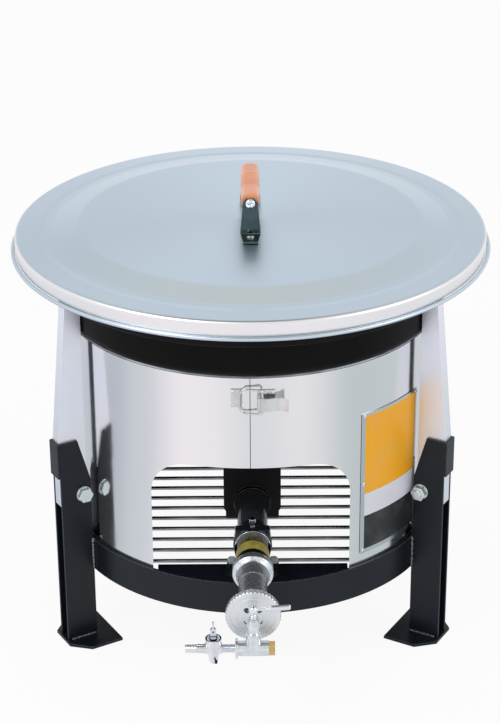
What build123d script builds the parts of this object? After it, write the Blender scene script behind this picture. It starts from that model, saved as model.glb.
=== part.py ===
from build123d import *
import math
import os

# Portable cooking stove for a large pot. Millimetres, +Z up, front towards -Y.
# Every piece is drawn about the stove's upright axis, with heights from the ground,
# and moved at the end so that the origin is the middle of the whole outline on the ground.

os.makedirs("parts", exist_ok=True)

# Small distances between pieces
weld_gap = 0.1
seat_gap = 0.3
strap_gap = 0.2
thread_gap = 0.1
running_gap = 0.05

# Base ring
ring_r = 238.0
ring_wall = 4.0
ring_low = 98.0
ring_height = 43.5

# Legs, foot plates and stop tabs
leg_azimuths = {"left": -60.0, "right": 60.0, "rear": 180.0}
leg_width = 22.0
leg_depth = 40.5
leg_wall = 3.0
leg_top = 285.0
leg_slope_depth = 16.0
leg_slope_height = 57.0
foot_wall = 4.0
foot_inner_r = 216.0
foot_reach = 2.5
foot_width = 80.0
foot_chamfer = 22.0
tab_wall = 3.2
tab_low = 238.0

# Arms
arm_side_gap = 0.3
arm_wall = 2.0
arm_low = 197.0
arm_bend_height = 290.0
arm_top_depth = 20.0

# Leg bolts, M10
leg_bolt_r = 5.0
leg_bolt_flats = 17.0
leg_bolt_head = 6.4
leg_nut_height = 8.0
leg_washer_r = 10.0
leg_washer_wall = 1.6
leg_bolt_end = 3.0
leg_bolt_inset = 7.5
leg_bolt_height = 210.0

# Grate and burner crossbar
bar_r = 2.5
bar_pitch = 27.5
bar_first = -144.5
bar_count = 14
grate_top = 104.5
angle_leg = 30.0
angle_wall = 3.0
angle_front = 204.0
angle_half_length = 117.5
angle_top = 131.0

# Windshield
shell_gap = 0.3
shell_wall = 1.0
shell_height = 310.6
arch_half_width = 120.3
arch_top = 297.0
arch_rise = 3.0
arch_corner_r = 48.0
seam_x = -2.0
seam_width = 0.8
plate_wall = 0.8
plate_start = 34.2
plate_angle = 25.4
plate_low = 155.3
plate_height = 191.5
plate_rivet_r = 2.6
plate_rivet_head = 1.3
plate_rivet_rows = 3
plate_rivet_inset = 3.6

# Latch on the windshield
latch_drop = 30.3
latch_lever_width = 16.5
latch_hinge_x = 9.0
latch_hinge_out = 4.9
latch_pin_r = 1.5
latch_throw = 4.0
latch_throw_angle = 30.0
latch_sheet = 1.2
latch_ear_r = 2.4
latch_lever_reach = 34.0
latch_blade_flat = 6.0
latch_blade_slope = 9.0
latch_blade_run = 6.0
latch_blade_drop = 2.6
latch_blade_rise = 4.0
latch_base_length = 21.0
bail_wire_r = 1.25
bail_height = 31.0
bail_lift = 2.75
bail_hook_corner_r = 8.0
bail_lever_corner_r = 3.5
hook_x = -14.0
hook_tip_angle = 45.0
catch_height = 23.0
catch_lift = 5.3
catch_length = 11.0
latch_rivet_r = 1.9
latch_rivet_head = 0.9

# Burner
line_height = 163.0
burner_face = 75.0
burner_half_width = 36.5
burner_length = 130.0
burner_low = 147.5
burner_corner_r = 9.0
burner_plate_low = 141.3
burner_plate_rise = 3.0
burner_foot_half_width = 34.0
burner_foot_length = 12.0
burner_foot_backs = (-13.0, 42.0)
burner_box_wall = 5.0
head_low = 235.0
head_channel_height = 17.0
head_wall = 4.0
head_outer_r = 95.0
head_inner_r = 46.0
head_ring_width = 17.0
head_arm_width = 16.0
head_arms = 4
burner_rim_wall = 5.0
burner_rim_length = 5.0
cap_height = 7.0
cap_bevel = 3.0
cap_seat = 2.0
port_width = 2.4
port_height = 3.0
outer_ports = 36
inner_ports = 18

# Burner line, radii and stations in front of the stove's axis
tube_r = 19.0
tube_bore_r = 15.0
tube_inside_body = 10.0
spigot_r = 17.0
saddle_back = 157.0
saddle_step = 172.0
saddle_front = 185.0
saddle_sleeve_r = 21.0
saddle_top = 184.5
saddle_top_half_width = 21.0
saddle_shoulder_half_width = 24.0
saddle_foot_half_width = 32.0
saddle_foot_wall = 6.0
saddle_bolt_x = 25.8
saddle_bolt_station = 180.0
saddle_bolt_r = 3.0
saddle_bolt_flats = 10.0
saddle_bolt_head = 5.5
set_screw_r = 2.5
set_screw_head_r = 4.2
set_screw_head = 5.0
set_screw_station = 164.5
set_screw_rise = 1.0
clamp_ring_r = 22.5
clamp_ring_length = 3.5
thread_band_r = 19.0
thread_band_length = 18.0
yellow_band_r = 20.5
yellow_band_length = 19.0
socket_r = 21.0
socket_length = 21.0
bell_r = 25.0
bell_collar = 13.0
bell_taper = 16.0
bell_bead = 2.0
bell_seat = 4.0
nipple_r = 17.0
nipple_bore_r = 13.5
nipple_front = 335.0
lock_ring_r = 22.5
lock_ring_length = 4.0
holder_r = 21.5
holder_wall = 3.0
holder_boss_r = 7.6
holder_boss_length = 8.0
lock_ring_inset = 1.0
damper_r = 32.5
damper_length = 9.0
damper_face_wall = 3.0
damper_rim_wall = 3.5
damper_window_r = 3.2
damper_window_circle = 11.2
damper_windows = 4
damper_notch_r = 1.1
damper_notches = 44
damper_groove_depth = 0.8
nozzle_r = 6.0
nozzle_collar_r = 10.0
nozzle_collar_length = 5.0
nozzle_tip = 308.0
nozzle_jet_r = 1.0

# Main cock
cock_station = 367.0
cock_height = 132.0
cock_body_r = 9.0
cock_half_length = 18.0
cock_passage_r = 4.5
cock_boss_r = 8.8
cock_boss_top = 154.0
cock_column_r = 6.8
cock_column_rise = 1.0
cock_spigot_r = 7.5
cock_gas_way_r = 2.5
spindle_r = 3.4
spindle_low = 150.0
spindle_port_r = 2.0
gland_r = 6.2
gland_height = 6.5
gland_ribs = 3
ball_r = 5.5
ball_height = 184.0
lever_thin_r = 1.7
lever_thick_r = 3.35
lever_taper_end = 22.0
lever_reach = 43.5
lever_rise = 4.0
plug_flats = 14.5
plug_head = 7.0
plug_shank_r = 6.0
plug_shank = 8.0
flange_r = 12.0
flange_wall = 3.0
inlet_r = 5.0
inlet_bore_r = 2.6

# Hose cock
hose_cock_x = -46.5
hose_cup_r = 9.5
hose_cup_top = 146.5
hose_cup_depth = 7.0
hose_cup_wall = 1.5
hose_body_low = 113.5
hose_body_low_r = 5.0
hose_taper_top = 136.0
hose_plug_r = 4.6
hose_plug_low = 121.0
hose_key_width = 7.0
hose_key_wall = 4.0
hose_key_top = 160.0
hose_key_hole_r = 1.3
hose_pin_r = 1.0
hose_pin_top = 168.0
hose_stub_wall = 1.0
hose_screw_r = 1.6
hose_screw_length = 4.0
barb_r = 5.25
barb_groove_r = 4.6
barb_bore_r = 2.6
barb_end = 33.0
barb_ribs = 4
barb_rib_pitch = 3.2
barb_land = 9.0
barb_rib_land = 0.8

# Pot
pot_wall = 3.0
pot_mid_r = 239.5
pot_low = 368.0
pot_dish_r = 571.0
pot_knuckle_r = 12.0
pot_ledge_height = 468.0
pot_ledge_r = 263.0
pot_ledge_corner_r = 3.0
pot_mouth_r = 277.0
pot_mouth_height = 509.6
pot_bead_r = 3.3
pot_bead_inset = 0.2

# Lid
lid_wall = 1.2
lid_overhang = 14.7
lid_edge_r = 3.0
lid_edge_rise = 0.6
lid_band_rise = 1.6
lid_groove_inset = 35.7
lid_groove_half = 3.0
lid_groove_depth = 1.6
lid_bevel_inset = 44.7
lid_disc_inset = 79.7
lid_disc_rise = 9.5
lid_crown = 1.5
lid_skirt_drop = 18.0
lid_bead_r = 2.5
lid_bead_inset = 0.3
lid_bead_drop = 19.8
lid_neck = 2.4

# Lid handle
strap_wall = 2.5
strap_foot_reach = 88.0
strap_foot_half_width = 12.8
strap_foot_tip_half_width = 9.3
strap_bend = 59.0
strap_top_half_width = 9.6
strap_run_half_width = 9.0
grip_half_length = 56.0
grip_width = 23.0
grip_height = 14.5
grip_low = 38.0
grip_crown_r = 9.0
grip_grooves = 5
grip_groove_pitch = 7.0
grip_groove_depth = 0.8
grip_groove_width = 2.2
grip_corner_r = 2.0
tab_corner = 5.0
tab_drop = 6.0
handle_screw_rise = 2.6
handle_screw_r = 6.0
handle_screw_head = 3.6
handle_screw_shank_r = 2.5
handle_screw_length = 14.0
handle_rivet_r = 4.5
handle_rivet_head = 2.6
handle_rivet_station = 74.0
handle_rivet_shank_r = 1.8

# Places worked out from the sizes above
leg_r = ring_r + weld_gap
leg_back_r = leg_r + leg_depth
arm_r = leg_r + leg_wall + seat_gap
arm_back_r = leg_back_r - seat_gap
arm_width = leg_width - 2 * leg_wall - 2 * arm_side_gap
arm_top = pot_ledge_height - seat_gap
bolt_place_r = leg_r + leg_bolt_inset + leg_wall
ring_bore_r = ring_r - ring_wall - weld_gap
shell_r = ring_r - ring_wall - shell_gap
shell_low = grate_top + weld_gap
shell_top = shell_low + shell_height
latch_height = shell_top - latch_drop
latch_base_low = latch_height - latch_lever_width / 2 - 3.0
band_front = saddle_front + clamp_ring_length + 2 * weld_gap
thread_front = band_front + thread_band_length
yellow_front = thread_front + yellow_band_length + weld_gap
socket_front = yellow_front + socket_length + weld_gap
bell_front = socket_front + bell_collar + bell_taper
holder_back = nipple_front + thread_gap
holder_front = holder_back + holder_wall
damper_back = holder_front + seat_gap
damper_front = damper_back + damper_length
collar_front = damper_front + seat_gap + nozzle_collar_length
cock_column_top = line_height + cock_spigot_r + cock_column_rise
lid_rim_r = pot_mouth_r + lid_overhang
lid_groove_r = lid_rim_r - lid_groove_inset
lid_bevel_r = lid_rim_r - lid_bevel_inset
lid_disc_r = lid_rim_r - lid_disc_inset
lid_band_start = lid_groove_r + lid_groove_half
lid_band_slope = (lid_band_rise - lid_edge_rise) / (lid_rim_r - lid_edge_r - lid_band_start)
lid_rise_at_mouth = lid_band_rise - lid_band_slope * (pot_mouth_r - lid_band_start)
lid_rim_height = pot_mouth_height + pot_bead_r + seat_gap + lid_wall - lid_rise_at_mouth
lid_disc_height = lid_rim_height + lid_disc_rise
strap_low = lid_disc_height + lid_crown + strap_gap
grip_base = strap_low + grip_low
handle_screw_height = grip_base + handle_screw_rise
upright = (Align.CENTER, Align.CENTER, Align.MIN)
front_reach = cock_station + flange_r
rear_reach = lid_rim_r + lid_bead_inset + 2 * lid_bead_r
axis_y = (front_reach - rear_reach) / 2


def radial_prism(outline, width):
    """A plate drawn by radius and height, upright over the front azimuth."""
    plane = Plane(origin=(0, 0, 0), x_dir=(0, -1, 0), z_dir=(-1, 0, 0))
    return extrude(plane * make_face(Polyline(*outline, close=True)), width / 2, both=True)


def at_azimuth(shape, azimuth):
    """Turn a piece from the front to its azimuth, positive to the right."""
    return Rot(0, 0, azimuth) * shape


def turned(profile):
    """A solid turned about the stove's axis from a face drawn by radius and height."""
    return revolve(Plane.XZ * profile, Axis.Z)


def on_line(shape):
    """Set a piece turned along Y onto the burner line."""
    return Pos(0, 0, line_height) * shape


def line_piece(*steps, bore=0.0):
    """A turned piece on the burner line, from (station, radius) steps, back to front."""
    outline = [(bore, -steps[0][0]), *[(r, -s) for s, r in steps], (bore, -steps[-1][0])]
    return on_line(revolve(make_face(Polyline(*outline, close=True)), Axis.Y))


def rod_along_x(radius, x_low, x_high, y, h):
    """A round rod along X between two places."""
    rod = Cylinder(radius, x_high - x_low, align=upright)
    return Pos(x_low, y, h) * Rot(0, 90, 0) * rod


def upright_rod(radius, low, high, x=0.0, y=0.0):
    """A round upright rod between two heights."""
    return Pos(x, y, low) * Cylinder(radius, high - low, align=upright)


def rod_back(radius, length, h):
    """A round rod from the upright axis back along Y."""
    return Pos(0, 0, h) * Rot(-90, 0, 0) * Cylinder(radius, length, align=upright)


def hex_along_x(flats, x_low, x_high, y, h):
    """A hexagon bar along X between two places, with a flat on top."""
    face = Rot(0, 0, 30) * RegularPolygon(flats / math.sqrt(3), 6)
    return Pos(x_low, y, h) * Rot(0, 90, 0) * extrude(face, x_high - x_low)


def box_between(low, high):
    """A block between two corners."""
    size = [b - a for a, b in zip(low, high)]
    return Pos(*low) * Box(*size, align=(Align.MIN, Align.MIN, Align.MIN))


def save(name, *solids):
    """Move the solids of one node to the part's origin and write them."""
    placed = [Pos(0, axis_y, 0) * solid for solid in solids]
    pieces = [piece for shape in placed for piece in shape.solids()]
    export_step(pieces[0] if len(pieces) == 1 else Compound(children=pieces), f"parts/{name}.step")


def base_ring():
    """Rolled flat bar that joins the legs."""
    ring = Cylinder(ring_r, ring_height) - Cylinder(ring_r - ring_wall, ring_height)
    return Pos(0, 0, ring_low + ring_height / 2) * ring


def leg():
    """Channel open outwards, its inner top edge cut on a slope to let the arm fold in."""
    outline = [
        (leg_r, foot_wall),
        (leg_back_r, foot_wall),
        (leg_back_r, leg_top),
        (leg_r + leg_slope_depth, leg_top),
        (leg_r, leg_top - leg_slope_height),
    ]
    hollow = [
        (leg_r + leg_wall, 0),
        (leg_back_r + 1, 0),
        (leg_back_r + 1, leg_top + 1),
        (leg_r + leg_wall, leg_top + 1),
    ]
    channel = radial_prism(outline, leg_width) - radial_prism(hollow, leg_width - 2 * leg_wall)
    bore_r = leg_bolt_r + thread_gap
    return channel - rod_along_x(bore_r, -leg_width, leg_width, -bolt_place_r, leg_bolt_height)


def foot_plate():
    """Flat plate under a leg, its outer corners cut off."""
    outer = leg_back_r + foot_reach
    half = foot_width / 2
    outline = [
        (-half, -foot_inner_r),
        (half, -foot_inner_r),
        (half, foot_chamfer - outer),
        (half - foot_chamfer + 1, -outer),
        (foot_chamfer - half - 1, -outer),
        (-half, foot_chamfer - outer),
    ]
    return extrude(make_face(Polyline(*outline, close=True)), foot_wall)


def stop_tab():
    """Flat bar across the leg's open side, which the arm leans on."""
    inner = leg_back_r + weld_gap
    low = (-leg_width / 2, -inner - tab_wall, tab_low)
    return box_between(low, (leg_width / 2, -inner, leg_top))


def arm():
    """Tapered channel nested in the leg, its web outwards and its flanges inwards."""
    top_back_r = arm_r + arm_top_depth
    outline = [
        (arm_r, arm_low),
        (arm_back_r, arm_low),
        (arm_back_r, arm_bend_height),
        (top_back_r, arm_top),
        (arm_r, arm_top),
    ]
    hollow = [
        (arm_r - 1, arm_low - 1),
        (arm_back_r - arm_wall, arm_low - 1),
        (arm_back_r - arm_wall, arm_bend_height),
        (top_back_r - arm_wall, arm_top),
        (top_back_r - arm_wall, arm_top + 1),
        (arm_r - 1, arm_top + 1),
    ]
    channel = radial_prism(outline, arm_width) - radial_prism(hollow, arm_width - 2 * arm_wall)
    bore_r = leg_bolt_r + thread_gap
    return channel - rod_along_x(bore_r, -leg_width, leg_width, -bolt_place_r, leg_bolt_height)


def leg_bolt():
    """Hexagon bolt along the tangent, its head on the +X side."""
    face = leg_width / 2 + leg_washer_wall + 2 * weld_gap
    end = face + leg_nut_height + leg_bolt_end
    head = hex_along_x(leg_bolt_flats, face, face + leg_bolt_head, -bolt_place_r, leg_bolt_height)
    return head + rod_along_x(leg_bolt_r, -end, face, -bolt_place_r, leg_bolt_height)


def leg_nut():
    """Hexagon nut on the other side of the leg."""
    face = leg_width / 2 + leg_washer_wall + 2 * weld_gap
    place = (-bolt_place_r, leg_bolt_height)
    nut = hex_along_x(leg_bolt_flats, -face - leg_nut_height, -face, *place)
    return nut - rod_along_x(leg_bolt_r + thread_gap, -2 * leg_width, 0, *place)


def leg_washers():
    """The two plain washers of one leg bolt."""
    place = (-bolt_place_r, leg_bolt_height)
    face = leg_width / 2 + weld_gap
    bore = rod_along_x(leg_bolt_r + thread_gap, -leg_width, leg_width, *place)
    right = rod_along_x(leg_washer_r, face, face + leg_washer_wall, *place)
    left = rod_along_x(leg_washer_r, -face - leg_washer_wall, -face, *place)
    return [right - bore, left - bore]


def grate_bars():
    """Round bars across the ring, their ends cut to its inner wall."""
    limit = upright_rod(ring_bore_r, ring_low, ring_low + ring_height)
    rods = []
    for index in range(bar_count):
        place = bar_first + index * bar_pitch
        rod = rod_along_x(bar_r, -ring_r, ring_r, place, grate_top - bar_r)
        rods.append(rod & limit)
    return rods


def burner_crossbar():
    """Steel angle across the ring's front, which carries the burner line."""
    back = angle_leg - angle_front
    half = angle_half_length
    flat = box_between((-half, -angle_front, angle_top - angle_wall), (half, back, angle_top))
    web_back = angle_wall - angle_front
    web = box_between((-half, -angle_front, angle_top - angle_leg), (half, web_back, angle_top))
    limit = upright_rod(ring_bore_r, ring_low, ring_low + ring_height)
    bar = (flat + web) & limit
    for side in (-1, 1):
        bar -= saddle_bolt_hole(side)
    return bar


def saddle_bolt_hole(side):
    """Hole for one saddle bolt, through the crossbar and the saddle's lug."""
    place = (side * saddle_bolt_x, -saddle_bolt_station)
    return upright_rod(saddle_bolt_r + thread_gap, ring_low, line_height, *place)


def windshield():
    """Rolled stainless sheet with an arched opening, open along its front seam."""
    middle = (shell_low + shell_top) / 2
    sheet = Cylinder(shell_r, shell_height) - Cylinder(shell_r - shell_wall, shell_height)
    sheet = Pos(0, 0, middle) * sheet
    shoulder = arch_top - arch_rise
    with BuildSketch() as arch:
        with BuildLine():
            Line((-arch_half_width, 0), (arch_half_width, 0))
            Line((arch_half_width, 0), (arch_half_width, shoulder))
            ThreePointArc((arch_half_width, shoulder), (0, arch_top), (-arch_half_width, shoulder))
            Line((-arch_half_width, shoulder), (-arch_half_width, 0))
        make_face()
        fillet(arch.vertices().sort_by(Axis.Y)[-2:], arch_corner_r)
    opening = Pos(seam_x, 0, 0) * extrude(Plane.XZ * arch.sketch, shell_r + 1)
    seam = box_between((-seam_width / 2, -shell_r - 1, 0), (seam_width / 2, 0, shell_top + 1))
    seam = Pos(seam_x, 0, 0) * seam
    return sheet - opening - seam


def curved_plate(inner_r, wall, start, angle, low, height):
    """Part of a thin tube about the axis, between two azimuths."""
    section = Pos(inner_r + wall / 2, low + height / 2) * Rectangle(wall, height)
    return Rot(0, 0, start - 90) * revolve(Plane.XZ * section, Axis.Z, angle)


def side_plate():
    """Plain plate riveted to the windshield's right side."""
    return curved_plate(shell_r + weld_gap, plate_wall, plate_start, plate_angle, plate_low, plate_height)


def button_rivet(radius, head):
    """Low coned head, its flat at the origin and its crown along -Y."""
    outline = [(0, 0), (radius, 0), (radius, -0.4 * head), (0.6 * radius, -head), (0, -head)]
    return revolve(make_face(Polyline(*outline, close=True)), Axis.Y)


def on_shell(shape, arc, height, lift):
    """Set a piece on the windshield, by its arc length from the front and its height."""
    turn = math.degrees(arc / shell_r)
    return Rot(0, 0, turn) * Pos(0, -shell_r - lift, height) * shape


def side_plate_rivets():
    """Rivets down both upright edges of the side plate."""
    rivets = []
    inset = math.degrees(plate_rivet_inset / shell_r)
    lift = weld_gap + plate_wall + weld_gap
    step = (plate_height - 2 * plate_rivet_inset) / (plate_rivet_rows - 1)
    for azimuth in (plate_start + inset, plate_start + plate_angle - inset):
        for row in range(plate_rivet_rows):
            height = plate_low + plate_rivet_inset + row * step
            arc = math.radians(azimuth) * shell_r
            rivets.append(on_shell(button_rivet(plate_rivet_r, plate_rivet_head), arc, height, lift))
    return rivets


def latch_prism(face, low, high):
    """Extrude a face drawn by X and distance out from the windshield, between two heights."""
    plane = Plane(origin=(0, -shell_r, high), x_dir=(1, 0, 0), z_dir=(0, 0, -1))
    return extrude(plane * face, high - low)


def latch_throw_place():
    """Where the bail's wire runs through the lever, as X and distance out."""
    angle = math.radians(latch_throw_angle)
    return latch_hinge_x + latch_throw * math.cos(angle), latch_hinge_out + latch_throw * math.sin(angle)


def hook_out():
    """Distance out of the bail's wire in the catch hook."""
    return weld_gap + latch_sheet + seat_gap + bail_wire_r


def plate_on_shell(x_low, x_high, low, height):
    """Thin latch plate that follows the windshield between two X places."""
    start = math.degrees(x_low / shell_r)
    angle = math.degrees((x_high - x_low) / shell_r)
    return curved_plate(shell_r + weld_gap, latch_sheet, start, angle, low, height)


def latch_catch():
    """Riveted plate whose right edge curls over as a hook for the bail."""
    low = latch_height - catch_height / 2 + catch_lift
    bail_middle = latch_height + bail_lift
    hook_half = bail_height / 2 - bail_hook_corner_r - 1
    bend_r = bail_wire_r + seat_gap
    hook_end = hook_x + 0.5
    plate = plate_on_shell(hook_end - catch_length, hook_end, low, catch_height)
    centre = (hook_x, hook_out())
    outer = Pos(*centre) * (Circle(bend_r + latch_sheet) - Circle(bend_r))
    tip = math.radians(hook_tip_angle)
    reach = 3 * bend_r
    kept = make_face(
        Polyline(
            centre,
            (centre[0], centre[1] - reach),
            (centre[0] + reach, centre[1] - reach),
            (centre[0] + reach, centre[1] + reach * math.tan(tip)),
            close=True,
        )
    )
    hook = latch_prism(outer & kept, bail_middle - hook_half, bail_middle + hook_half)
    catch = plate + hook
    return catch - upright_rod(shell_r + weld_gap, low - 1, low + catch_height + 1)


def latch_base():
    """Riveted plate with two ears that carry the latch pin."""
    x_low = latch_hinge_x - latch_ear_r
    plate = plate_on_shell(x_low, x_low + latch_base_length, latch_base_low, bail_height - 4)
    centre = (latch_hinge_x, latch_hinge_out)
    ear_face = Pos(*centre) * Circle(latch_ear_r)
    ear_face += Pos(latch_hinge_x, latch_hinge_out / 2) * Rectangle(2 * latch_ear_r, latch_hinge_out)
    ear_face -= Pos(*centre) * Circle(latch_pin_r + running_gap)
    base = plate
    for side in (-1, 1):
        inner = latch_height + side * (latch_lever_width / 2 + seat_gap)
        outer = inner + side * latch_sheet
        base += latch_prism(ear_face, min(inner, outer), max(inner, outer))
    low = latch_base_low - 1
    return base - upright_rod(shell_r + weld_gap, low, low + 2 * bail_height)


def latch_pin():
    """Pin through the two ears, with a thin head at each end."""
    near = latch_lever_width / 2 + seat_gap + latch_sheet + weld_gap
    far = near + latch_sheet / 2
    place = (latch_hinge_x, -shell_r - latch_hinge_out)
    pin = upright_rod(latch_pin_r, latch_height - far, latch_height + far, *place)
    for low, high in ((-far, -near), (near, far)):
        pin += upright_rod(latch_pin_r + 0.5, latch_height + low, latch_height + high, *place)
    return pin


def latch_lever():
    """Pressed lever: an eye round the pin, an eye round the bail, and a bent blade."""
    throw = latch_throw_place()
    hinge = (latch_hinge_x, latch_hinge_out)
    eye_r = latch_sheet + latch_pin_r + running_gap
    bail_eye_r = latch_sheet + bail_wire_r + running_gap
    blade_out = throw[1] + bail_eye_r
    end = latch_hinge_x + latch_lever_reach
    near = throw[0] + latch_blade_flat
    middle = near + latch_blade_slope
    far = middle + latch_blade_run
    low_out = blade_out - latch_blade_drop
    outside = [
        (throw[0], blade_out),
        (near, blade_out),
        (middle, low_out),
        (far, low_out),
        (end, low_out + latch_blade_rise),
    ]
    blade = outside + [(x, out - latch_sheet) for x, out in reversed(outside)]
    face = Pos(*hinge) * Circle(eye_r) + Pos(*throw) * Circle(bail_eye_r)
    face += make_face(Polyline(*blade, close=True))
    face -= Pos(*hinge) * Circle(latch_pin_r + running_gap)
    face -= Pos(*throw) * Circle(bail_wire_r + running_gap)
    low = latch_height - latch_lever_width / 2
    return latch_prism(face, low, low + latch_lever_width)


def latch_bail():
    """Closed wire loop from the lever's eye to the catch hook."""
    throw = latch_throw_place()
    low = latch_height + bail_lift - bail_height / 2
    high = low + bail_height
    lever_end = (throw[0], -shell_r - throw[1])
    hook_end = (hook_x, -shell_r - hook_out())
    corners = [(*lever_end, low), (*lever_end, high), (*hook_end, high), (*hook_end, low)]
    radii = [bail_lever_corner_r, bail_lever_corner_r, bail_hook_corner_r, bail_hook_corner_r]
    loop = FilletPolyline(*corners, radius=radii, close=True)
    first = loop.edges()[0]
    section = Plane(origin=first @ 0, z_dir=first % 0) * Circle(bail_wire_r)
    return sweep(section, path=loop)


def latch_rivets():
    """Two rivets in the catch plate and two in the base plate."""
    lift = weld_gap + latch_sheet + weld_gap
    rivet = button_rivet(latch_rivet_r, latch_rivet_head)
    catch_middle = latch_height + catch_lift
    catch_x = hook_x + 0.5 - catch_length + latch_rivet_r + 0.6
    spots = [(catch_x, catch_middle + side * (catch_height / 2 - 3)) for side in (-1, 1)]
    base_top = latch_base_low + bail_height - 4
    base_x = latch_hinge_x + latch_base_length - latch_ear_r - 3
    spots += [(base_x, base_top - 3), (base_x - 9, base_top - 3)]
    return [on_shell(rivet, x, height, lift) for x, height in spots]


def burner_body():
    """Cast throat box that stands on the grate and feeds the head."""
    height = head_low - burner_low
    half = burner_half_width
    with BuildSketch() as section:
        with Locations((0, burner_low + height / 2)):
            Rectangle(2 * half, height)
        fillet(section.vertices().sort_by(Axis.Y)[:2], burner_corner_r)
    box = extrude(Plane.XZ * section.sketch, burner_length)
    box = Pos(0, burner_length - burner_face, 0) * box
    inner_half = half - burner_box_wall
    hollow = box_between(
        (-inner_half, burner_box_wall - burner_face, burner_low + burner_box_wall),
        (inner_half, burner_length - burner_face - burner_box_wall, head_low + 1),
    )
    hollow = fillet(hollow.edges().filter_by(Axis.Y).sort_by(Axis.Z)[:2], burner_corner_r - burner_box_wall)
    body = box - hollow
    foot_half = burner_foot_half_width
    plate_top = burner_low + burner_plate_rise
    body += box_between(
        (-foot_half, -burner_face, burner_plate_low),
        (foot_half, burner_length - burner_face, plate_top),
    )
    for back in burner_foot_backs:
        low = (-foot_half, back, grate_top + weld_gap)
        body += box_between(low, (foot_half, back + burner_foot_length, burner_low))
    rim_r = tube_r + burner_rim_wall
    rim_end = burner_face + burner_rim_length
    rim = line_piece((burner_face, rim_r), (rim_end, rim_r - 1))
    bore_r = tube_r + thread_gap
    bore = line_piece((burner_face - 1.2 * tube_inside_body, bore_r), (rim_end + 1, bore_r))
    return body + rim - hollow - bore


def head_section(outer_r, width, low, height):
    """A flat ring about the axis."""
    outer = upright_rod(outer_r, low, low + height)
    return outer - upright_rod(outer_r - width, low - 1, low + height + 1)


def burner_head():
    """Cast head: two gas channels joined by arms, open on top for the caps."""
    channels = ((head_outer_r, head_ring_width), (head_inner_r, head_ring_width))
    top = head_low + head_channel_height
    head = upright_rod(head_inner_r - 1, head_low, head_low + head_wall)
    for outer_r, width in channels:
        head += head_section(outer_r, width, head_low, head_channel_height)
    arm_length = head_outer_r - 1
    for index in range(head_arms):
        block = box_between((0, -head_arm_width / 2, head_low), (arm_length, head_arm_width / 2, top))
        head += Rot(0, 0, 45 + index * 360 / head_arms) * block
    floor = head_low + head_wall
    head -= upright_rod(head_inner_r - head_ring_width, floor, top + 1)
    for outer_r, width in channels:
        gas = width - 2 * head_wall
        head -= head_section(outer_r - head_wall, gas, floor, head_channel_height)
    return head


def ring_cap(outer_r, width, ports):
    """Cap of one gas channel, slotted underneath for the flames."""
    low = head_low + head_channel_height + weld_gap
    section = [
        (outer_r - width, low),
        (outer_r, low),
        (outer_r, low + cap_height - cap_bevel),
        (outer_r - cap_bevel - 1, low + cap_height),
        (outer_r - width + cap_bevel + 1, low + cap_height),
        (outer_r - width, low + cap_height - cap_bevel),
    ]
    cap = turned(make_face(Polyline(*section, close=True)))
    slot_low = (outer_r - width - 1, -port_width / 2, low - 1)
    slot = box_between(slot_low, (outer_r + 1, port_width / 2, low + port_height))
    cuts = [Rot(0, 0, index * 360 / ports) * slot for index in range(ports)]
    side = head_wall + seat_gap
    lip = head_section(outer_r - side, width - 2 * side, low - cap_seat, cap_seat)
    return (cap - cuts) + lip


def mixing_tube():
    """Tube from the burner body to the front socket, turned down under the bands."""
    back = burner_face - tube_inside_body
    step = band_front - weld_gap
    end = socket_front - bell_collar / 2
    return line_piece((back, tube_r), (step, tube_r), (step, spigot_r), (end, spigot_r), bore=tube_bore_r)


def pipe_saddle():
    """Cast saddle: a sleeve round the tube, a flat-topped bracket and two bolted lugs."""
    sleeve = line_piece((saddle_back, saddle_sleeve_r), (saddle_step, saddle_sleeve_r))
    low = angle_top + weld_gap
    foot_top = low + saddle_foot_wall
    outline = [
        (-saddle_foot_half_width, low),
        (saddle_foot_half_width, low),
        (saddle_foot_half_width, foot_top),
        (saddle_shoulder_half_width - 5, foot_top),
        (saddle_shoulder_half_width, line_height),
        (saddle_top_half_width, saddle_top),
        (-saddle_top_half_width, saddle_top),
        (-saddle_shoulder_half_width, line_height),
        (5 - saddle_shoulder_half_width, foot_top),
        (-saddle_foot_half_width, foot_top),
    ]
    bracket = extrude(Plane.XZ * make_face(Polyline(*outline, close=True)), saddle_front - saddle_step)
    bracket = Pos(0, -saddle_step, 0) * bracket
    saddle = sleeve + bracket
    bore_r = tube_r + thread_gap
    saddle -= line_piece((saddle_back - 1, bore_r), (saddle_front + 1, bore_r))
    for side in (-1, 1):
        saddle -= saddle_bolt_hole(side)
    hole_top = line_height + saddle_sleeve_r + 1
    saddle -= upright_rod(set_screw_r + thread_gap, line_height, hole_top, 0, -set_screw_station)
    return saddle


def saddle_bolt(side):
    """Small hexagon bolt through one lug and the crossbar."""
    seat = angle_top + saddle_foot_wall + 2 * weld_gap
    place = (side * saddle_bolt_x, -saddle_bolt_station)
    hexagon = RegularPolygon(saddle_bolt_flats / math.sqrt(3), 6)
    head = Pos(*place, seat) * extrude(hexagon, saddle_bolt_head)
    low = angle_top - angle_wall - saddle_bolt_head - 3
    return head + upright_rod(saddle_bolt_r, low, seat + 1, *place)


def saddle_nut(side):
    """Nut of one saddle bolt, under the crossbar."""
    place = (side * saddle_bolt_x, -saddle_bolt_station)
    low = angle_top - angle_wall - saddle_bolt_head - weld_gap
    hexagon = RegularPolygon(saddle_bolt_flats / math.sqrt(3), 6)
    nut = Pos(*place, low) * extrude(hexagon, saddle_bolt_head)
    return nut - upright_rod(saddle_bolt_r + thread_gap, low - 1, angle_top, *place)


def sleeve_set_screw():
    """Screw down through the sleeve onto the tube."""
    low = line_height + tube_r + weld_gap
    seat = line_height + saddle_sleeve_r + set_screw_rise
    shank = upright_rod(set_screw_r, low, seat + 1, 0, -set_screw_station)
    head = upright_rod(set_screw_head_r, seat, seat + set_screw_head, 0, -set_screw_station)
    return shank + head


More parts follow.
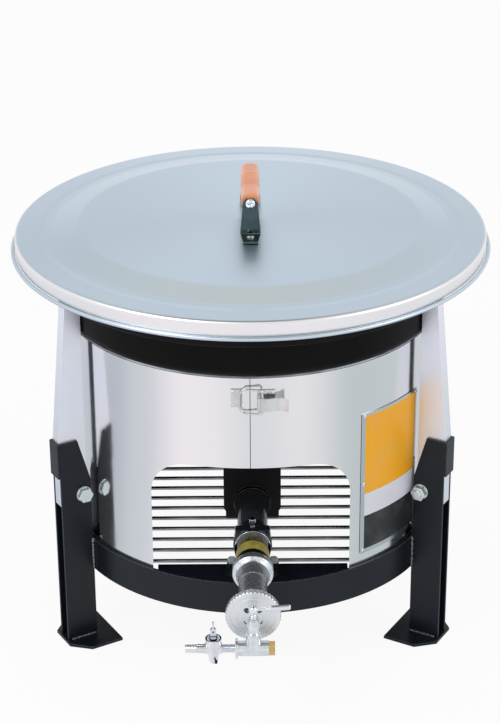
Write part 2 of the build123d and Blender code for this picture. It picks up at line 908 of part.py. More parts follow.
def line_ring(back, length, radius, bore):
    """Plain ring on the burner line."""
    return line_piece((back, radius), (back + length, radius), bore=bore)


def bell_reducer():
    """Bell-mouthed reducer between the socket and the front nipple."""
    inside = nipple_r + thread_gap
    step = socket_front + weld_gap
    spigot_back = socket_front - bell_collar / 2 + weld_gap
    outer = line_piece(
        (spigot_back, spigot_r),
        (step, spigot_r),
        (step, bell_r - bell_bead),
        (step + bell_bead, bell_r),
        (step + bell_collar - bell_bead, bell_r),
        (step + bell_collar, bell_r - bell_bead),
        (bell_front - bell_bead, nipple_r + bell_bead + 1),
        (bell_front, nipple_r + bell_bead),
    )
    bore = line_piece(
        (spigot_back - 1, nipple_bore_r),
        (step + bell_seat, nipple_bore_r),
        (step + bell_seat, inside),
        (bell_front + 1, inside),
    )
    return outer - bore


def front_nipple():
    """Plain galvanised pipe in front of the bell."""
    back = socket_front + bell_seat + 2 * weld_gap
    return line_ring(back, nipple_front - back, nipple_r, nipple_bore_r)


def window_cuts(back, front):
    """Air windows in a circle about the burner line."""
    cuts = []
    for index in range(damper_windows):
        angle = math.radians(45 + index * 360 / damper_windows)
        x, z = damper_window_circle * math.cos(angle), damper_window_circle * math.sin(angle)
        cuts.append(Pos(x, 0, z) * line_piece((back - 1, damper_window_r), (front + 1, damper_window_r)))
    return cuts


def nozzle_holder():
    """Plate in the nipple's front end, which carries the nozzle and has air windows."""
    bore = nozzle_r + thread_gap
    holder = line_piece(
        (holder_back - holder_boss_length, holder_boss_r),
        (holder_back, holder_boss_r),
        (holder_back, holder_r),
        (holder_front, holder_r),
        bore=bore,
    )
    return holder - window_cuts(holder_back, holder_front)


def air_damper():
    """Cupped disc with a notched rim, stepped face and air windows, turning on the nozzle."""
    bore = nozzle_r + running_gap
    face_back = damper_front - damper_face_wall
    rim_r = damper_r - damper_rim_wall
    disc = line_piece(
        (damper_back, damper_r - 1),
        (damper_back + 1, damper_r),
        (damper_front - 1, damper_r),
        (damper_front, damper_r - 1),
    )
    cup = line_ring(damper_back - 1, face_back - damper_back + 1, rim_r, holder_boss_r)
    groove_back = damper_front - damper_groove_depth
    ring_cut = line_ring(groove_back, damper_face_wall, rim_r - 2, rim_r - 6)
    step_cut = line_ring(groove_back, damper_face_wall, rim_r - 9, nozzle_collar_r)
    disc = disc - cup - ring_cut - step_cut
    disc -= line_piece((damper_back - 1, bore), (damper_front + 1, bore))
    disc -= window_cuts(damper_back, damper_front)
    notch = line_piece((damper_back - 1, damper_notch_r), (damper_front + 1, damper_notch_r))
    notches = []
    for index in range(damper_notches):
        angle = math.radians(index * 360 / damper_notches)
        notches.append(Pos(damper_r * math.cos(angle), 0, damper_r * math.sin(angle)) * notch)
    return disc - notches


def nozzle():
    """Gas nozzle through the damper and holder, its jet in the nipple."""
    body = line_piece(
        (nozzle_tip, 2.0),
        (nozzle_tip + 6, 4.2),
        (nozzle_tip + 10, nozzle_r),
        (collar_front - nozzle_collar_length, nozzle_r),
        (collar_front - nozzle_collar_length, nozzle_collar_r),
        (collar_front, nozzle_collar_r),
        bore=nozzle_jet_r,
    )
    return body


def cock_place(shape):
    """Set a piece drawn about the upright through the main cock."""
    return Pos(0, -cock_station, 0) * shape


def main_cock_body():
    """Forged body: cross tube, boss, column for the spindle and spigot for the nozzle."""
    spigot_back = cock_station - collar_front - weld_gap
    body = rod_along_x(cock_body_r, -cock_half_length, cock_half_length, 0, cock_height)
    body += upright_rod(cock_boss_r, cock_height, cock_boss_top)
    body += upright_rod(cock_column_r, cock_boss_top - 1, cock_column_top)
    body += rod_back(cock_spigot_r, spigot_back, line_height)
    body -= rod_along_x(cock_passage_r, -cock_half_length - 1, cock_half_length + 1, 0, cock_height)
    plug_hole = cock_half_length - plug_shank - 1
    body -= rod_along_x(plug_shank_r + thread_gap, plug_hole, cock_half_length + 1, 0, cock_height)
    body -= upright_rod(spindle_r + running_gap, cock_height, cock_column_top + 1)
    body -= rod_back(cock_gas_way_r, spigot_back + 1, line_height)
    return cock_place(body)


def main_cock_spindle():
    """Spindle with its gas port, ribbed gland and ball top, which turns with the lever."""
    body = upright_rod(spindle_r, spindle_low, ball_height)
    body -= upright_rod(spindle_port_r, spindle_low - 1, line_height + spindle_port_r)
    body -= rod_back(spindle_port_r, 2 * spindle_r, line_height)
    gland_low = cock_column_top + seat_gap
    rib_pitch = gland_height / gland_ribs
    for rib in range(gland_ribs):
        low = gland_low + rib * rib_pitch
        body += upright_rod(gland_r - 0.6 * rib, low, low + rib_pitch - 0.5)
    body += upright_rod((gland_r + spindle_r) / 2 - 0.6, gland_low, gland_low + gland_height)
    body += Pos(0, 0, ball_height) * Sphere(ball_r)
    rise = math.degrees(math.atan2(lever_rise, lever_reach))
    hole = Cylinder(lever_thin_r + thread_gap, ball_r + 1, align=upright)
    body -= Pos(0, 0, ball_height) * Rot(0, 90 - rise, 0) * hole
    return cock_place(body)


def main_cock_lever():
    """Tapered lever rod with a rounded end, pressed into the spindle's ball."""
    rise = math.degrees(math.atan2(lever_rise, lever_reach))
    outline = [
        (0, weld_gap),
        (lever_thin_r, weld_gap),
        (lever_thin_r, ball_r + 2),
        (lever_thick_r, lever_taper_end),
        (lever_thick_r, lever_reach - 1.5),
        (lever_thick_r - 1.5, lever_reach),
        (0, lever_reach),
    ]
    rod = revolve(Plane.XZ * make_face(Polyline(*outline, close=True)), Axis.Z)
    return cock_place(Pos(0, 0, ball_height) * Rot(0, 90 - rise, 0) * rod)


def brass_plug():
    """Hexagon plug screwed into the right end of the cock."""
    start = cock_half_length + weld_gap
    head = hex_along_x(plug_flats, start, start + plug_head, -cock_station, cock_height)
    return head + rod_along_x(plug_shank_r, start - plug_shank, start, -cock_station, cock_height)


def inlet_flange():
    """Thin disc between the inlet nipple and the main cock."""
    end = -cock_half_length - weld_gap
    disc = rod_along_x(flange_r, end - flange_wall, end, -cock_station, cock_height)
    return disc - rod_along_x(inlet_bore_r, end - flange_wall - 1, end + 1, -cock_station, cock_height)


def inlet_nipple():
    """Threaded nipple between the hose cock and the flange."""
    right = -cock_half_length - flange_wall - 2 * weld_gap
    left = hose_cock_x + hose_cup_r + hose_stub_wall
    pipe = rod_along_x(inlet_r, left, right, -cock_station, cock_height)
    return pipe - rod_along_x(inlet_bore_r, left - 1, right + 1, -cock_station, cock_height)


def hose_cock_place(shape):
    """Set a piece drawn about the upright through the hose cock."""
    return Pos(hose_cock_x, -cock_station, 0) * shape


def hose_cock_body():
    """Tapered plug cock body with a cup on top and a stub to each side."""
    cup_floor = hose_cup_top - hose_cup_depth
    outline = [
        (0, hose_body_low),
        (hose_body_low_r - 1, hose_body_low),
        (hose_body_low_r, hose_body_low + 1.5),
        (hose_body_low_r + 0.5, hose_body_low + 6),
        (hose_cup_r - 0.8, hose_taper_top),
        (hose_cup_r, cup_floor),
        (hose_cup_r, hose_cup_top),
        (0, hose_cup_top),
    ]
    body = turned(make_face(Polyline(*outline, close=True)))
    stub = hose_cup_r + hose_stub_wall - weld_gap
    body += rod_along_x(inlet_r + hose_stub_wall, -stub, stub, 0, cock_height)
    body -= upright_rod(hose_cup_r - hose_cup_wall, cup_floor, hose_cup_top + 1)
    body -= upright_rod(hose_plug_r + running_gap, hose_plug_low - seat_gap, hose_cup_top)
    body -= rod_along_x(barb_bore_r, -2 * hose_cup_r, 2 * hose_cup_r, 0, cock_height)
    return hose_cock_place(body)


def hose_cock_spindle():
    """Plug with its gas port, a flat key with a hole, and a pin on top."""
    plug_top = hose_cup_top - hose_cup_depth
    body = upright_rod(hose_plug_r, hose_plug_low, plug_top)
    body -= rod_along_x(barb_bore_r, -hose_cup_r, hose_cup_r, 0, cock_height)
    collar_top = hose_cup_top + 1
    body += upright_rod(hose_plug_r, plug_top - 1, collar_top)
    half = hose_key_width / 2
    key = box_between((-half, -hose_key_wall / 2, collar_top - 1), (half, hose_key_wall / 2, hose_key_top))
    key = fillet(key.edges().filter_by(Axis.Y).sort_by(Axis.Z)[-2:], half - 0.6)
    hole = Cylinder(hose_key_hole_r, 2 * hose_key_wall)
    key -= Pos(0, 0, hose_key_top - half - 1) * Rot(90, 0, 0) * hole
    body += key
    body += upright_rod(hose_pin_r, hose_key_top - 1, hose_pin_top)
    return hose_cock_place(body)


def hose_cock_screw():
    """Small screw low on the hose cock's front."""
    place = Pos(3.0, -hose_body_low_r - 0.2 - hose_screw_length, hose_body_low + 5)
    screw = Cylinder(hose_screw_r, hose_screw_length, align=upright)
    screw = place * Rot(-90, 0, 0) * screw
    body = upright_rod(hose_body_low_r + 0.5 + weld_gap, hose_body_low, hose_body_low + 12)
    return hose_cock_place(screw - body)


def hose_barb():
    """Ribbed hose end with a plain land, bored through."""
    start = hose_cock_x - hose_cup_r - hose_stub_wall
    end = hose_cock_x - barb_end
    place = (-cock_station, cock_height)
    land_end = start - barb_land
    barb = rod_along_x(barb_r, land_end, start, *place)
    barb += rod_along_x(barb_groove_r, end, land_end, *place)
    cone = Rot(0, -90, 0) * Cone(barb_r, barb_groove_r, barb_rib_pitch - barb_rib_land, align=upright)
    for rib in range(barb_ribs):
        barb += Pos(land_end - rib * barb_rib_pitch - barb_rib_land, *place) * cone
    barb -= rod_along_x(barb_bore_r, end - 1, start + 1, *place)
    return barb


def pot_face(inset, over):
    """Half section of the pot, moved in by a wall and run on over the mouth."""
    dish_r = pot_dish_r - inset
    centre_h = pot_low + pot_dish_r
    wall_r = pot_mid_r - inset
    corner_h = centre_h - math.sqrt(dish_r**2 - wall_r**2)
    dish_mid_r = wall_r / 2
    dish_mid_h = centre_h - math.sqrt(dish_r**2 - dish_mid_r**2)
    mouth_h = pot_mouth_height + over
    lean = (pot_mouth_r - pot_ledge_r) / (pot_mouth_height - pot_ledge_height)
    mouth_r = pot_ledge_r + lean * (mouth_h - pot_ledge_height) - inset
    ledge_h = pot_ledge_height + inset
    ledge_r = pot_ledge_r - inset + lean * inset
    with BuildSketch() as sketch:
        with BuildLine():
            ThreePointArc((0, pot_low + inset), (dish_mid_r, dish_mid_h), (wall_r, corner_h))
            Polyline((wall_r, corner_h), (wall_r, ledge_h), (ledge_r, ledge_h), (mouth_r, mouth_h))
            Polyline((mouth_r, mouth_h), (0, mouth_h), (0, pot_low + inset))
        make_face()
        knuckle = [v for v in sketch.vertices() if abs(v.X - wall_r) + abs(v.Y - corner_h) < 0.01]
        fillet(knuckle, pot_knuckle_r - inset)
        ledge = [v for v in sketch.vertices() if abs(v.Y - ledge_h) < 0.01 and v.X > 1]
        fillet(ledge, pot_ledge_corner_r)
    return sketch.sketch


def pot():
    """Iron pot with a dished base, a ledge for the arms, a flared wall and a rolled mouth."""
    body = turned(pot_face(0.0, 0.0)) - turned(pot_face(pot_wall, 2 * pot_bead_r))
    bead = turned(Pos(pot_mouth_r - pot_bead_inset, pot_mouth_height) * Circle(pot_bead_r))
    return body + bead


def lid_outline(inset):
    """Points of the lid's upper side by radius and height, lowered by a wall."""
    groove_h = lid_rim_height + lid_band_rise
    return [
        (0, lid_disc_height + lid_crown - inset),
        (lid_disc_r, lid_disc_height - inset),
        (lid_bevel_r, groove_h - inset),
        (lid_groove_r - lid_groove_half, groove_h - inset),
        (lid_groove_r, groove_h - lid_groove_depth - inset),
        (lid_groove_r + lid_groove_half, groove_h - inset),
        (lid_rim_r - lid_edge_r - 0.4 * inset, lid_rim_height + lid_edge_rise - inset),
        (lid_rim_r - inset, lid_rim_height + lid_edge_rise - lid_edge_r - 0.4 * inset),
    ]


def lid():
    """Spun lid: crowned disc, bevel, groove, rim, skirt and a rolled edge."""
    upper = lid_outline(0)
    lower = lid_outline(lid_wall)
    skirt_low = lid_rim_height - lid_skirt_drop
    bead_height = lid_rim_height - lid_bead_drop
    outline = upper + [(lid_rim_r, skirt_low), (lid_rim_r - lid_wall, skirt_low)] + lower[::-1]
    sheet = turned(make_face(Polyline(*outline, close=True)))
    bead = turned(Pos(lid_rim_r + lid_bead_inset + lid_bead_r, bead_height) * Circle(lid_bead_r))
    neck = turned(Pos(lid_rim_r, bead_height + lid_neck / 2) * Rectangle(lid_neck, lid_neck))
    return sheet + bead + neck


def strap_half():
    """Front foot, leg and end tab of the handle bracket."""
    base = strap_low
    wall = strap_wall
    tab_y = -grip_half_length - weld_gap
    tab_low_h = grip_base - wall
    tab_top_h = grip_base + grip_height - tab_drop
    side = [
        (-strap_foot_reach, base),
        (-strap_bend, base),
        (tab_y, tab_low_h),
        (tab_y, tab_top_h),
        (tab_y - wall, tab_top_h),
        (tab_y - wall, tab_low_h),
        (-strap_bend - wall, base + wall),
        (-strap_foot_reach, base + wall),
    ]
    plane = Plane(origin=(0, 0, 0), x_dir=(0, 1, 0), z_dir=(1, 0, 0))
    bent = extrude(plane * make_face(Polyline(*side, close=True)), strap_foot_half_width, both=True)
    wide, narrow, tip = strap_foot_half_width, strap_top_half_width, strap_foot_tip_half_width
    front_view = [
        (-wide, base - 1),
        (wide, base - 1),
        (wide, base + wall),
        (narrow, tab_low_h),
        (narrow, tab_top_h - tab_corner),
        (narrow - tab_corner + 1, tab_top_h),
        (tab_corner - 1 - narrow, tab_top_h),
        (-narrow, tab_top_h - tab_corner),
        (-narrow, tab_low_h),
        (-wide, base + wall),
    ]
    bent &= extrude(Plane.XZ * make_face(Polyline(*front_view, close=True)), strap_foot_reach + 1)
    reach = strap_foot_reach
    plan = [
        (-wide, 0),
        (wide, 0),
        (wide, -strap_bend),
        (tip, -reach),
        (-tip, -reach),
        (-wide, -strap_bend),
    ]
    plan_prism = Pos(0, 0, base - 1) * extrude(make_face(Polyline(*plan, close=True)), 2 * grip_low)
    return bent & plan_prism


def handle_strap():
    """Bracket of the lid handle: two legs joined by a strip under the grip."""
    front = strap_half()
    low = grip_base - 1.5 * strap_wall
    half = strap_run_half_width
    y_end = grip_half_length + weld_gap + strap_wall / 2
    run = box_between((-half, -y_end, low), (half, y_end, low + strap_wall))
    bracket = front + Rot(0, 0, 180) * front + run
    for side in (-1, 1):
        station = side * handle_rivet_station
        hole_r = handle_rivet_shank_r + thread_gap
        bracket -= upright_rod(hole_r, strap_low - 1, strap_low + 2 * strap_wall, 0, station)
    hole = Cylinder(handle_screw_shank_r + thread_gap, 3 * grip_half_length)
    return bracket - Pos(0, 0, handle_screw_height) * Rot(90, 0, 0) * hole


def handle_grip():
    """Moulded grip with a round top and grooves for the fingers."""
    low = grip_base - strap_wall / 2 + weld_gap
    with BuildSketch() as section:
        with Locations((0, low + grip_height / 2)):
            Rectangle(grip_width, grip_height)
        fillet(section.vertices().sort_by(Axis.Y)[-2:], grip_crown_r)
        fillet(section.vertices().sort_by(Axis.Y)[:2], grip_corner_r)
    grip = extrude(Plane.XZ * section.sketch, grip_half_length, both=True)
    inner = offset(section.sketch, -grip_groove_depth)
    for index in range(grip_grooves):
        place = (index - (grip_grooves - 1) / 2) * grip_groove_pitch
        slice_outer = extrude(Plane.XZ * section.sketch, grip_groove_width / 2, both=True)
        slice_inner = extrude(Plane.XZ * inner, grip_groove_width / 2, both=True)
        grip -= Pos(0, place, 0) * (slice_outer - slice_inner)
    hole = Cylinder(handle_screw_shank_r + thread_gap, handle_screw_length, align=upright)
    for side in (-1, 1):
        grip -= Pos(0, side * grip_half_length, handle_screw_height) * Rot(side * 90, 0, 0) * hole
    return grip


def handle_screw(turn):
    """Pan head screw through one end tab into the grip."""
    face = grip_half_length + 2 * weld_gap + strap_wall
    outline = [
        (0, 0),
        (handle_screw_r, 0),
        (handle_screw_r, handle_screw_head - 1.2),
        (handle_screw_r - 1.5, handle_screw_head),
        (0, handle_screw_head),
    ]
    head = revolve(Plane.XZ * make_face(Polyline(*outline, close=True)), Axis.Z)
    shank_length = strap_wall + handle_screw_length - 1
    shank = Pos(0, 0, -shank_length) * Cylinder(handle_screw_shank_r, shank_length, align=upright)
    screw = Pos(0, -face, handle_screw_height) * Rot(90, 0, 0) * (head + shank)
    return Rot(0, 0, turn) * screw


def handle_rivet(side):
    """Button head rivet through one strap foot."""
    seat = strap_low + strap_wall + weld_gap
    place = Pos(0, side * handle_rivet_station, seat)
    head = place * Rot(-90, 0, 0) * button_rivet(handle_rivet_r, handle_rivet_head)
    shank_low = strap_low - strap_gap / 2
    shank = upright_rod(handle_rivet_shank_r, shank_low, seat + 0.5, 0, side * handle_rivet_station)
    return head + shank


legs = leg_azimuths.items()
save("base_ring", base_ring())
for place, azimuth in legs:
    save(f"leg_{place}", at_azimuth(leg(), azimuth))
    save(f"foot_{place}", at_azimuth(foot_plate(), azimuth))
    save(f"arm_{place}", at_azimuth(arm(), azimuth))
save("stop_tabs", *[at_azimuth(stop_tab(), azimuth) for _, azimuth in legs])
save("leg_bolts", *[at_azimuth(leg_bolt(), azimuth) for _, azimuth in legs])
save("leg_nuts", *[at_azimuth(leg_nut(), azimuth) for _, azimuth in legs])
save("leg_washers", *[at_azimuth(washer, azimuth) for _, azimuth in legs for washer in leg_washers()])

save("grate_bars", *grate_bars())
save("burner_crossbar", burner_crossbar())
save("windshield", windshield())
save("side_plate", side_plate())
save("side_plate_rivets", *side_plate_rivets())
save("latch_catch", latch_catch())
save("latch_base", latch_base())
save("latch_pin", latch_pin())
save("latch_lever", latch_lever())
save("latch_bail", latch_bail())
save("latch_rivets", *latch_rivets())

save("burner_body", burner_body())
save("burner_head", burner_head())
save("burner_cap_outer", ring_cap(head_outer_r, head_ring_width, outer_ports))
save("burner_cap_inner", ring_cap(head_inner_r, head_ring_width, inner_ports))
save("mixing_tube", mixing_tube())
save("pipe_saddle", pipe_saddle())
save("saddle_bolts", saddle_bolt(-1), saddle_bolt(1))
save("saddle_nuts", saddle_nut(-1), saddle_nut(1))
save("sleeve_set_screw", sleeve_set_screw())
clamp_back = saddle_front + weld_gap
band_bore = spigot_r + thread_gap
save("clamp_ring", line_ring(clamp_back, clamp_ring_length, clamp_ring_r, tube_r + thread_gap))
save("thread_band", line_ring(band_front, thread_band_length, thread_band_r, band_bore))
save("yellow_band", line_ring(thread_front + weld_gap, yellow_band_length, yellow_band_r, band_bore))
save("socket", line_ring(yellow_front + weld_gap, socket_length, socket_r, band_bore))
save("bell_reducer", bell_reducer())
save("front_nipple", front_nipple())
lock_back = nipple_front - lock_ring_length - lock_ring_inset
save("lock_ring", line_ring(lock_back, lock_ring_length, lock_ring_r, nipple_r + thread_gap))
save("nozzle_holder", nozzle_holder())
save("air_damper", air_damper())
save("nozzle", nozzle())

save("main_cock_body", main_cock_body())
save("main_cock_spindle", main_cock_spindle())
save("main_cock_lever", main_cock_lever())
save("brass_plug", brass_plug())
save("inlet_flange", inlet_flange())
save("inlet_nipple", inlet_nipple())
save("hose_cock_body", hose_cock_body())
save("hose_cock_spindle", hose_cock_spindle())
save("hose_cock_screw", hose_cock_screw())
save("hose_barb", hose_barb())

save("pot", pot())
save("lid", lid())
save("handle_strap", handle_strap())
save("handle_grip", handle_grip())
save("handle_screws", handle_screw(0), handle_screw(180))
save("handle_rivets", handle_rivet(-1), handle_rivet(1))
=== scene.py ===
"""Looks of a three-legged gas stove with a pot and a lid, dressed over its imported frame."""

import logging
import math
from dataclasses import dataclass, field
from enum import Enum

import bmesh
import bpy
from mathutils import Matrix, Vector


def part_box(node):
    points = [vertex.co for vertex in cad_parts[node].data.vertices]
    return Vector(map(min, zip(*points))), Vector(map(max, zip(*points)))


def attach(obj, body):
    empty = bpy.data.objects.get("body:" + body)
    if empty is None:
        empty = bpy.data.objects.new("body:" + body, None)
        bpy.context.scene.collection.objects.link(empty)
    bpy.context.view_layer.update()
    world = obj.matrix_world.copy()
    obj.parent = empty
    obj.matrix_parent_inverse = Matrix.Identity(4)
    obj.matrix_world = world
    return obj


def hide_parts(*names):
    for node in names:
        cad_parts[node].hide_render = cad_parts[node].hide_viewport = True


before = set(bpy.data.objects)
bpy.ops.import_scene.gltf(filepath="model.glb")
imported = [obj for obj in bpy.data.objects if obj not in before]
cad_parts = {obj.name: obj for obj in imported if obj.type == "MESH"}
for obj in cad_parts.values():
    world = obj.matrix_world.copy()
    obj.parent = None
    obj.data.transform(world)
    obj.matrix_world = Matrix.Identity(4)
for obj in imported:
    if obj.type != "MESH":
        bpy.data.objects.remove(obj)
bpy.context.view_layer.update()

log = logging.getLogger("stove")

Colour = tuple[float, float, float]
Point = tuple[float, float, float]

STOVE_AXIS_Y = 0.041
LINE_HEIGHT = 0.163
COCK_Y = STOVE_AXIS_Y - 0.367
COCK_HEIGHT = 0.132
HOSE_COCK_X = -0.0465
SHEET_RADIUS = 0.2337
EDGE_WEAR_GLINT_ATTR = "edge_wear_and_painted_glint"
PAINTED_SKIRT_REFLECTION = "painted_skirt_reflection"
FULL_TURN = 2 * math.pi
MERGE_DISTANCE = 0.000001
FLAT_ANGLE = math.radians(0.4)
HARD_ANGLE = math.radians(32)


def srgb(red: int, green: int, blue: int) -> Colour:
    """Turn a colour as it looks on a screen into the linear values that a shader takes.

    Args:
        red: Red from 0 to 255.
        green: Green from 0 to 255.
        blue: Blue from 0 to 255.

    Returns:
        The same colour as three linear values.
    """
    return tuple(((c / 255 + 0.055) / 1.055) ** 2.4 if c > 10 else c / 255 / 12.92 for c in (red, green, blue))


class Body(Enum):
    """The bodies of the frame that new pieces ride on."""

    STOVE = "stove"
    LID = "lid"
    LATCH_LEVER = "latch_lever"
    MAIN_COCK = "main_cock_key"
    HOSE_COCK = "hose_cock_key"
    AIR_DISC = "air_disc"


class Grain(Enum):
    """How a surface was made, which sets the direction of its fine marks."""

    PEEL = "peel"
    CAST = "cast"
    TURNED = "turned"
    ROLLED = "rolled"
    SPANGLE = "spangle"
    MOULDED = "moulded"


class Lathe(Enum):
    """The axis that a turned or rolled surface goes round: its centre and the turn that stands it upright."""

    STOVE = ((0.0, STOVE_AXIS_Y, 0.0), (0.0, 0.0, 0.0))
    LINE = ((0.0, 0.0, LINE_HEIGHT), (math.pi / 2, 0.0, 0.0))
    CROSS = ((0.0, COCK_Y, COCK_HEIGHT), (0.0, math.pi / 2, 0.0))
    MAIN_COCK = ((0.0, COCK_Y, 0.0), (0.0, 0.0, 0.0))
    HOSE_COCK = ((HOSE_COCK_X, COCK_Y, 0.0), (0.0, 0.0, 0.0))


@dataclass(frozen=True)
class Finish:
    """One finish of the stove, as the colours and sizes that its material is made from."""

    name: str
    light: Colour
    dark: Colour
    metallic: float
    roughness: float
    roughness_spread: float = 0.08
    cloud_scale: float = 14.0
    grain: Grain = Grain.CAST
    grain_scale: float = 900.0
    relief: float = 0.00004
    # Colour and amount for rounded edges: partly real wear, partly painted edge highlights.
    wear_glint_colour: Colour = (0.5, 0.5, 0.5)
    wear_and_glint: float = 0.0
    dust: float = 0.0
    coat: float = 0.0
    coat_roughness: float = 0.1
    specular: float = 0.5
    anisotropy: float = 0.0
    # Lighter tint for the steep faces of the rim: a painted reflection of the pale floor.
    painted_skirt_reflection: Colour | None = None


# The edge colour of each finish lightens its rounded edges, partly as wear and partly as a painted highlight.
BLACK_PAINT = Finish("black_paint", (0.0062, 0.0096, 0.0150), (0.0050, 0.0080, 0.0130), 0.0, 0.36, 0.04, 7.0,
                     Grain.PEEL, 260.0, 0.000012, (0.13, 0.14, 0.155), 0.45, 0.004, specular=0.28)
GALVANISED = Finish("galvanised_sheet", (0.85, 0.885, 0.98), (0.87, 0.89, 0.93), 0.90, 0.40, 0.05, 9.0,
                    Grain.SPANGLE, 110.0, 0.00001, (0.95, 0.95, 0.96), 0.6)
STAINLESS = Finish("stainless_sheet", (0.865, 0.865, 0.87), (0.845, 0.85, 0.855), 1.0, 0.14, 0.03, 4.0,
                   Grain.ROLLED, 420.0, 0.000005)
SMALL_STAINLESS = Finish("stainless_pressing", (0.72, 0.735, 0.73), (0.62, 0.635, 0.635), 1.0, 0.22, 0.06, 60.0,
                         Grain.MOULDED, 900.0, 0.000008, (0.95, 0.95, 0.95), 0.5)
GRATE_STEEL = Finish("grate_bar", (0.42, 0.42, 0.43), (0.28, 0.28, 0.29), 0.95, 0.20, 0.04, 30.0,
                     Grain.PEEL, 300.0, 0.000003, (0.5, 0.5, 0.5), 0.2)
POT_IRON = Finish("pot_iron", (0.0052, 0.0046, 0.0050), (0.0030, 0.0029, 0.0034), 0.0, 0.40, 0.06, 14.0,
                  Grain.TURNED, 260.0, 0.00002, (0.04, 0.034, 0.03), 0.3, specular=0.085)
LID_METAL = Finish("spun_lid", (0.655, 0.745, 0.83), (0.62, 0.712, 0.80), 1.0, 0.30, 0.0, 3.0,
                   Grain.TURNED, 150.0, 0.000006, anisotropy=0.6, painted_skirt_reflection=(0.90, 0.885, 0.90))
STRAP_STEEL = Finish("blued_strap", (0.085, 0.125, 0.125), (0.055, 0.085, 0.086), 0.85, 0.07, 0.02, 40.0,
                     Grain.PEEL, 300.0, 0.000002, (0.75, 0.80, 0.80), 1.0)
GRIP_RESIN = Finish("grip_resin", srgb(240, 158, 112), srgb(232, 140, 92), 0.0, 0.26, 0.03, 14.0,
                    Grain.MOULDED, 300.0, 0.000002, coat=0.6, coat_roughness=0.12)
BLACK_IRON = Finish("black_iron", (0.0075, 0.0078, 0.0088), (0.0045, 0.0047, 0.0054), 0.2, 0.46, 0.06, 40.0,
                    Grain.CAST, 620.0, 0.00005, (0.22, 0.23, 0.25), 0.8, specular=0.22)
GLOSS_BLACK = Finish("gloss_enamel", (0.017, 0.022, 0.028), (0.011, 0.015, 0.020), 0.0, 0.13, 0.04, 30.0,
                     Grain.PEEL, 220.0, 0.000006, (0.45, 0.48, 0.50), 0.9, coat=0.5, coat_roughness=0.06)
# Gloss black enamel painted lighter to make up for the shade the tube sits in; its bright edge colour paints
# highlights.
TUBE_ENAMEL_PAINTED_LIGHTER = Finish("tube_enamel_painted_lighter", (0.060, 0.078, 0.092), (0.040, 0.053, 0.064), 0.1, 0.16, 0.04, 26.0,
                     Grain.PEEL, 220.0, 0.000006, (0.60, 0.64, 0.66), 1.0, coat=0.6, coat_roughness=0.06)
WELD = Finish("weld_metal", (0.26, 0.28, 0.30), (0.05, 0.055, 0.06), 0.8, 0.28, 0.08, 500.0,
              Grain.PEEL, 500.0, 0.00002)
CAST_ZINC = Finish("granular_zinc", (0.88, 0.91, 0.95), (0.60, 0.64, 0.70), 0.92, 0.27, 0.06, 420.0,
                   Grain.CAST, 1900.0, 0.00005, (0.95, 0.96, 0.97), 0.8)
SATIN_ZINC = Finish("satin_zinc", (0.88, 0.90, 0.92), (0.84, 0.86, 0.885), 0.90, 0.40, 0.04, 40.0,
                    Grain.TURNED, 1100.0, 0.00001, (0.95, 0.95, 0.96), 0.5)
NICKEL = Finish("nickel_plate", (0.83, 0.85, 0.88), (0.75, 0.78, 0.82), 1.0, 0.13, 0.04, 80.0,
                Grain.TURNED, 1500.0, 0.000006, (0.95, 0.95, 0.95), 0.3)
CHROME = Finish("chrome", (0.86, 0.88, 0.90), (0.80, 0.82, 0.85), 1.0, 0.07, 0.03, 60.0,
                Grain.TURNED, 1500.0, 0.000003, (0.95, 0.95, 0.95), 0.2)
BOLT_ZINC = Finish("bolt_zinc", (0.76, 0.84, 0.85), (0.69, 0.77, 0.78), 0.6, 0.24, 0.04, 60.0,
                   Grain.CAST, 900.0, 0.000008, (0.92, 0.95, 0.95), 0.5)
# Bolt zinc painted paler to make up for the shade the saddle bolts sit in.
BOLT_ZINC_PAINTED_LIGHTER = Finish("bolt_zinc_painted_lighter", (0.90, 0.94, 0.96), (0.80, 0.85, 0.88), 0.3, 0.24, 0.04, 60.0,
                   Grain.CAST, 900.0, 0.000008, (0.95, 0.97, 0.97), 0.5)
COCK_METAL = Finish("cock_metal", (0.84, 0.875, 0.895), (0.72, 0.76, 0.785), 1.0, 0.22, 0.05, 120.0,
                    Grain.CAST, 1500.0, 0.00002, (0.95, 0.96, 0.96), 0.5)
BRASS = Finish("turned_brass", (0.80, 0.53, 0.23), (0.70, 0.43, 0.16), 1.0, 0.24, 0.06, 90.0,
               Grain.TURNED, 1200.0, 0.00001, (0.95, 0.75, 0.45), 0.5)
OLIVE_SEAL = Finish("thread_seal", (0.12, 0.11, 0.045), (0.03, 0.029, 0.018), 0.1, 0.36, 0.12, 160.0,
                    Grain.TURNED, 700.0, 0.0002)
YELLOW_BAND = Finish("yellow_tape", (0.52, 0.44, 0.10), (0.36, 0.30, 0.06), 0.0, 0.40, 0.08, 90.0,
                     Grain.MOULDED, 600.0, 0.00005, (0.6, 0.55, 0.2), 0.2)


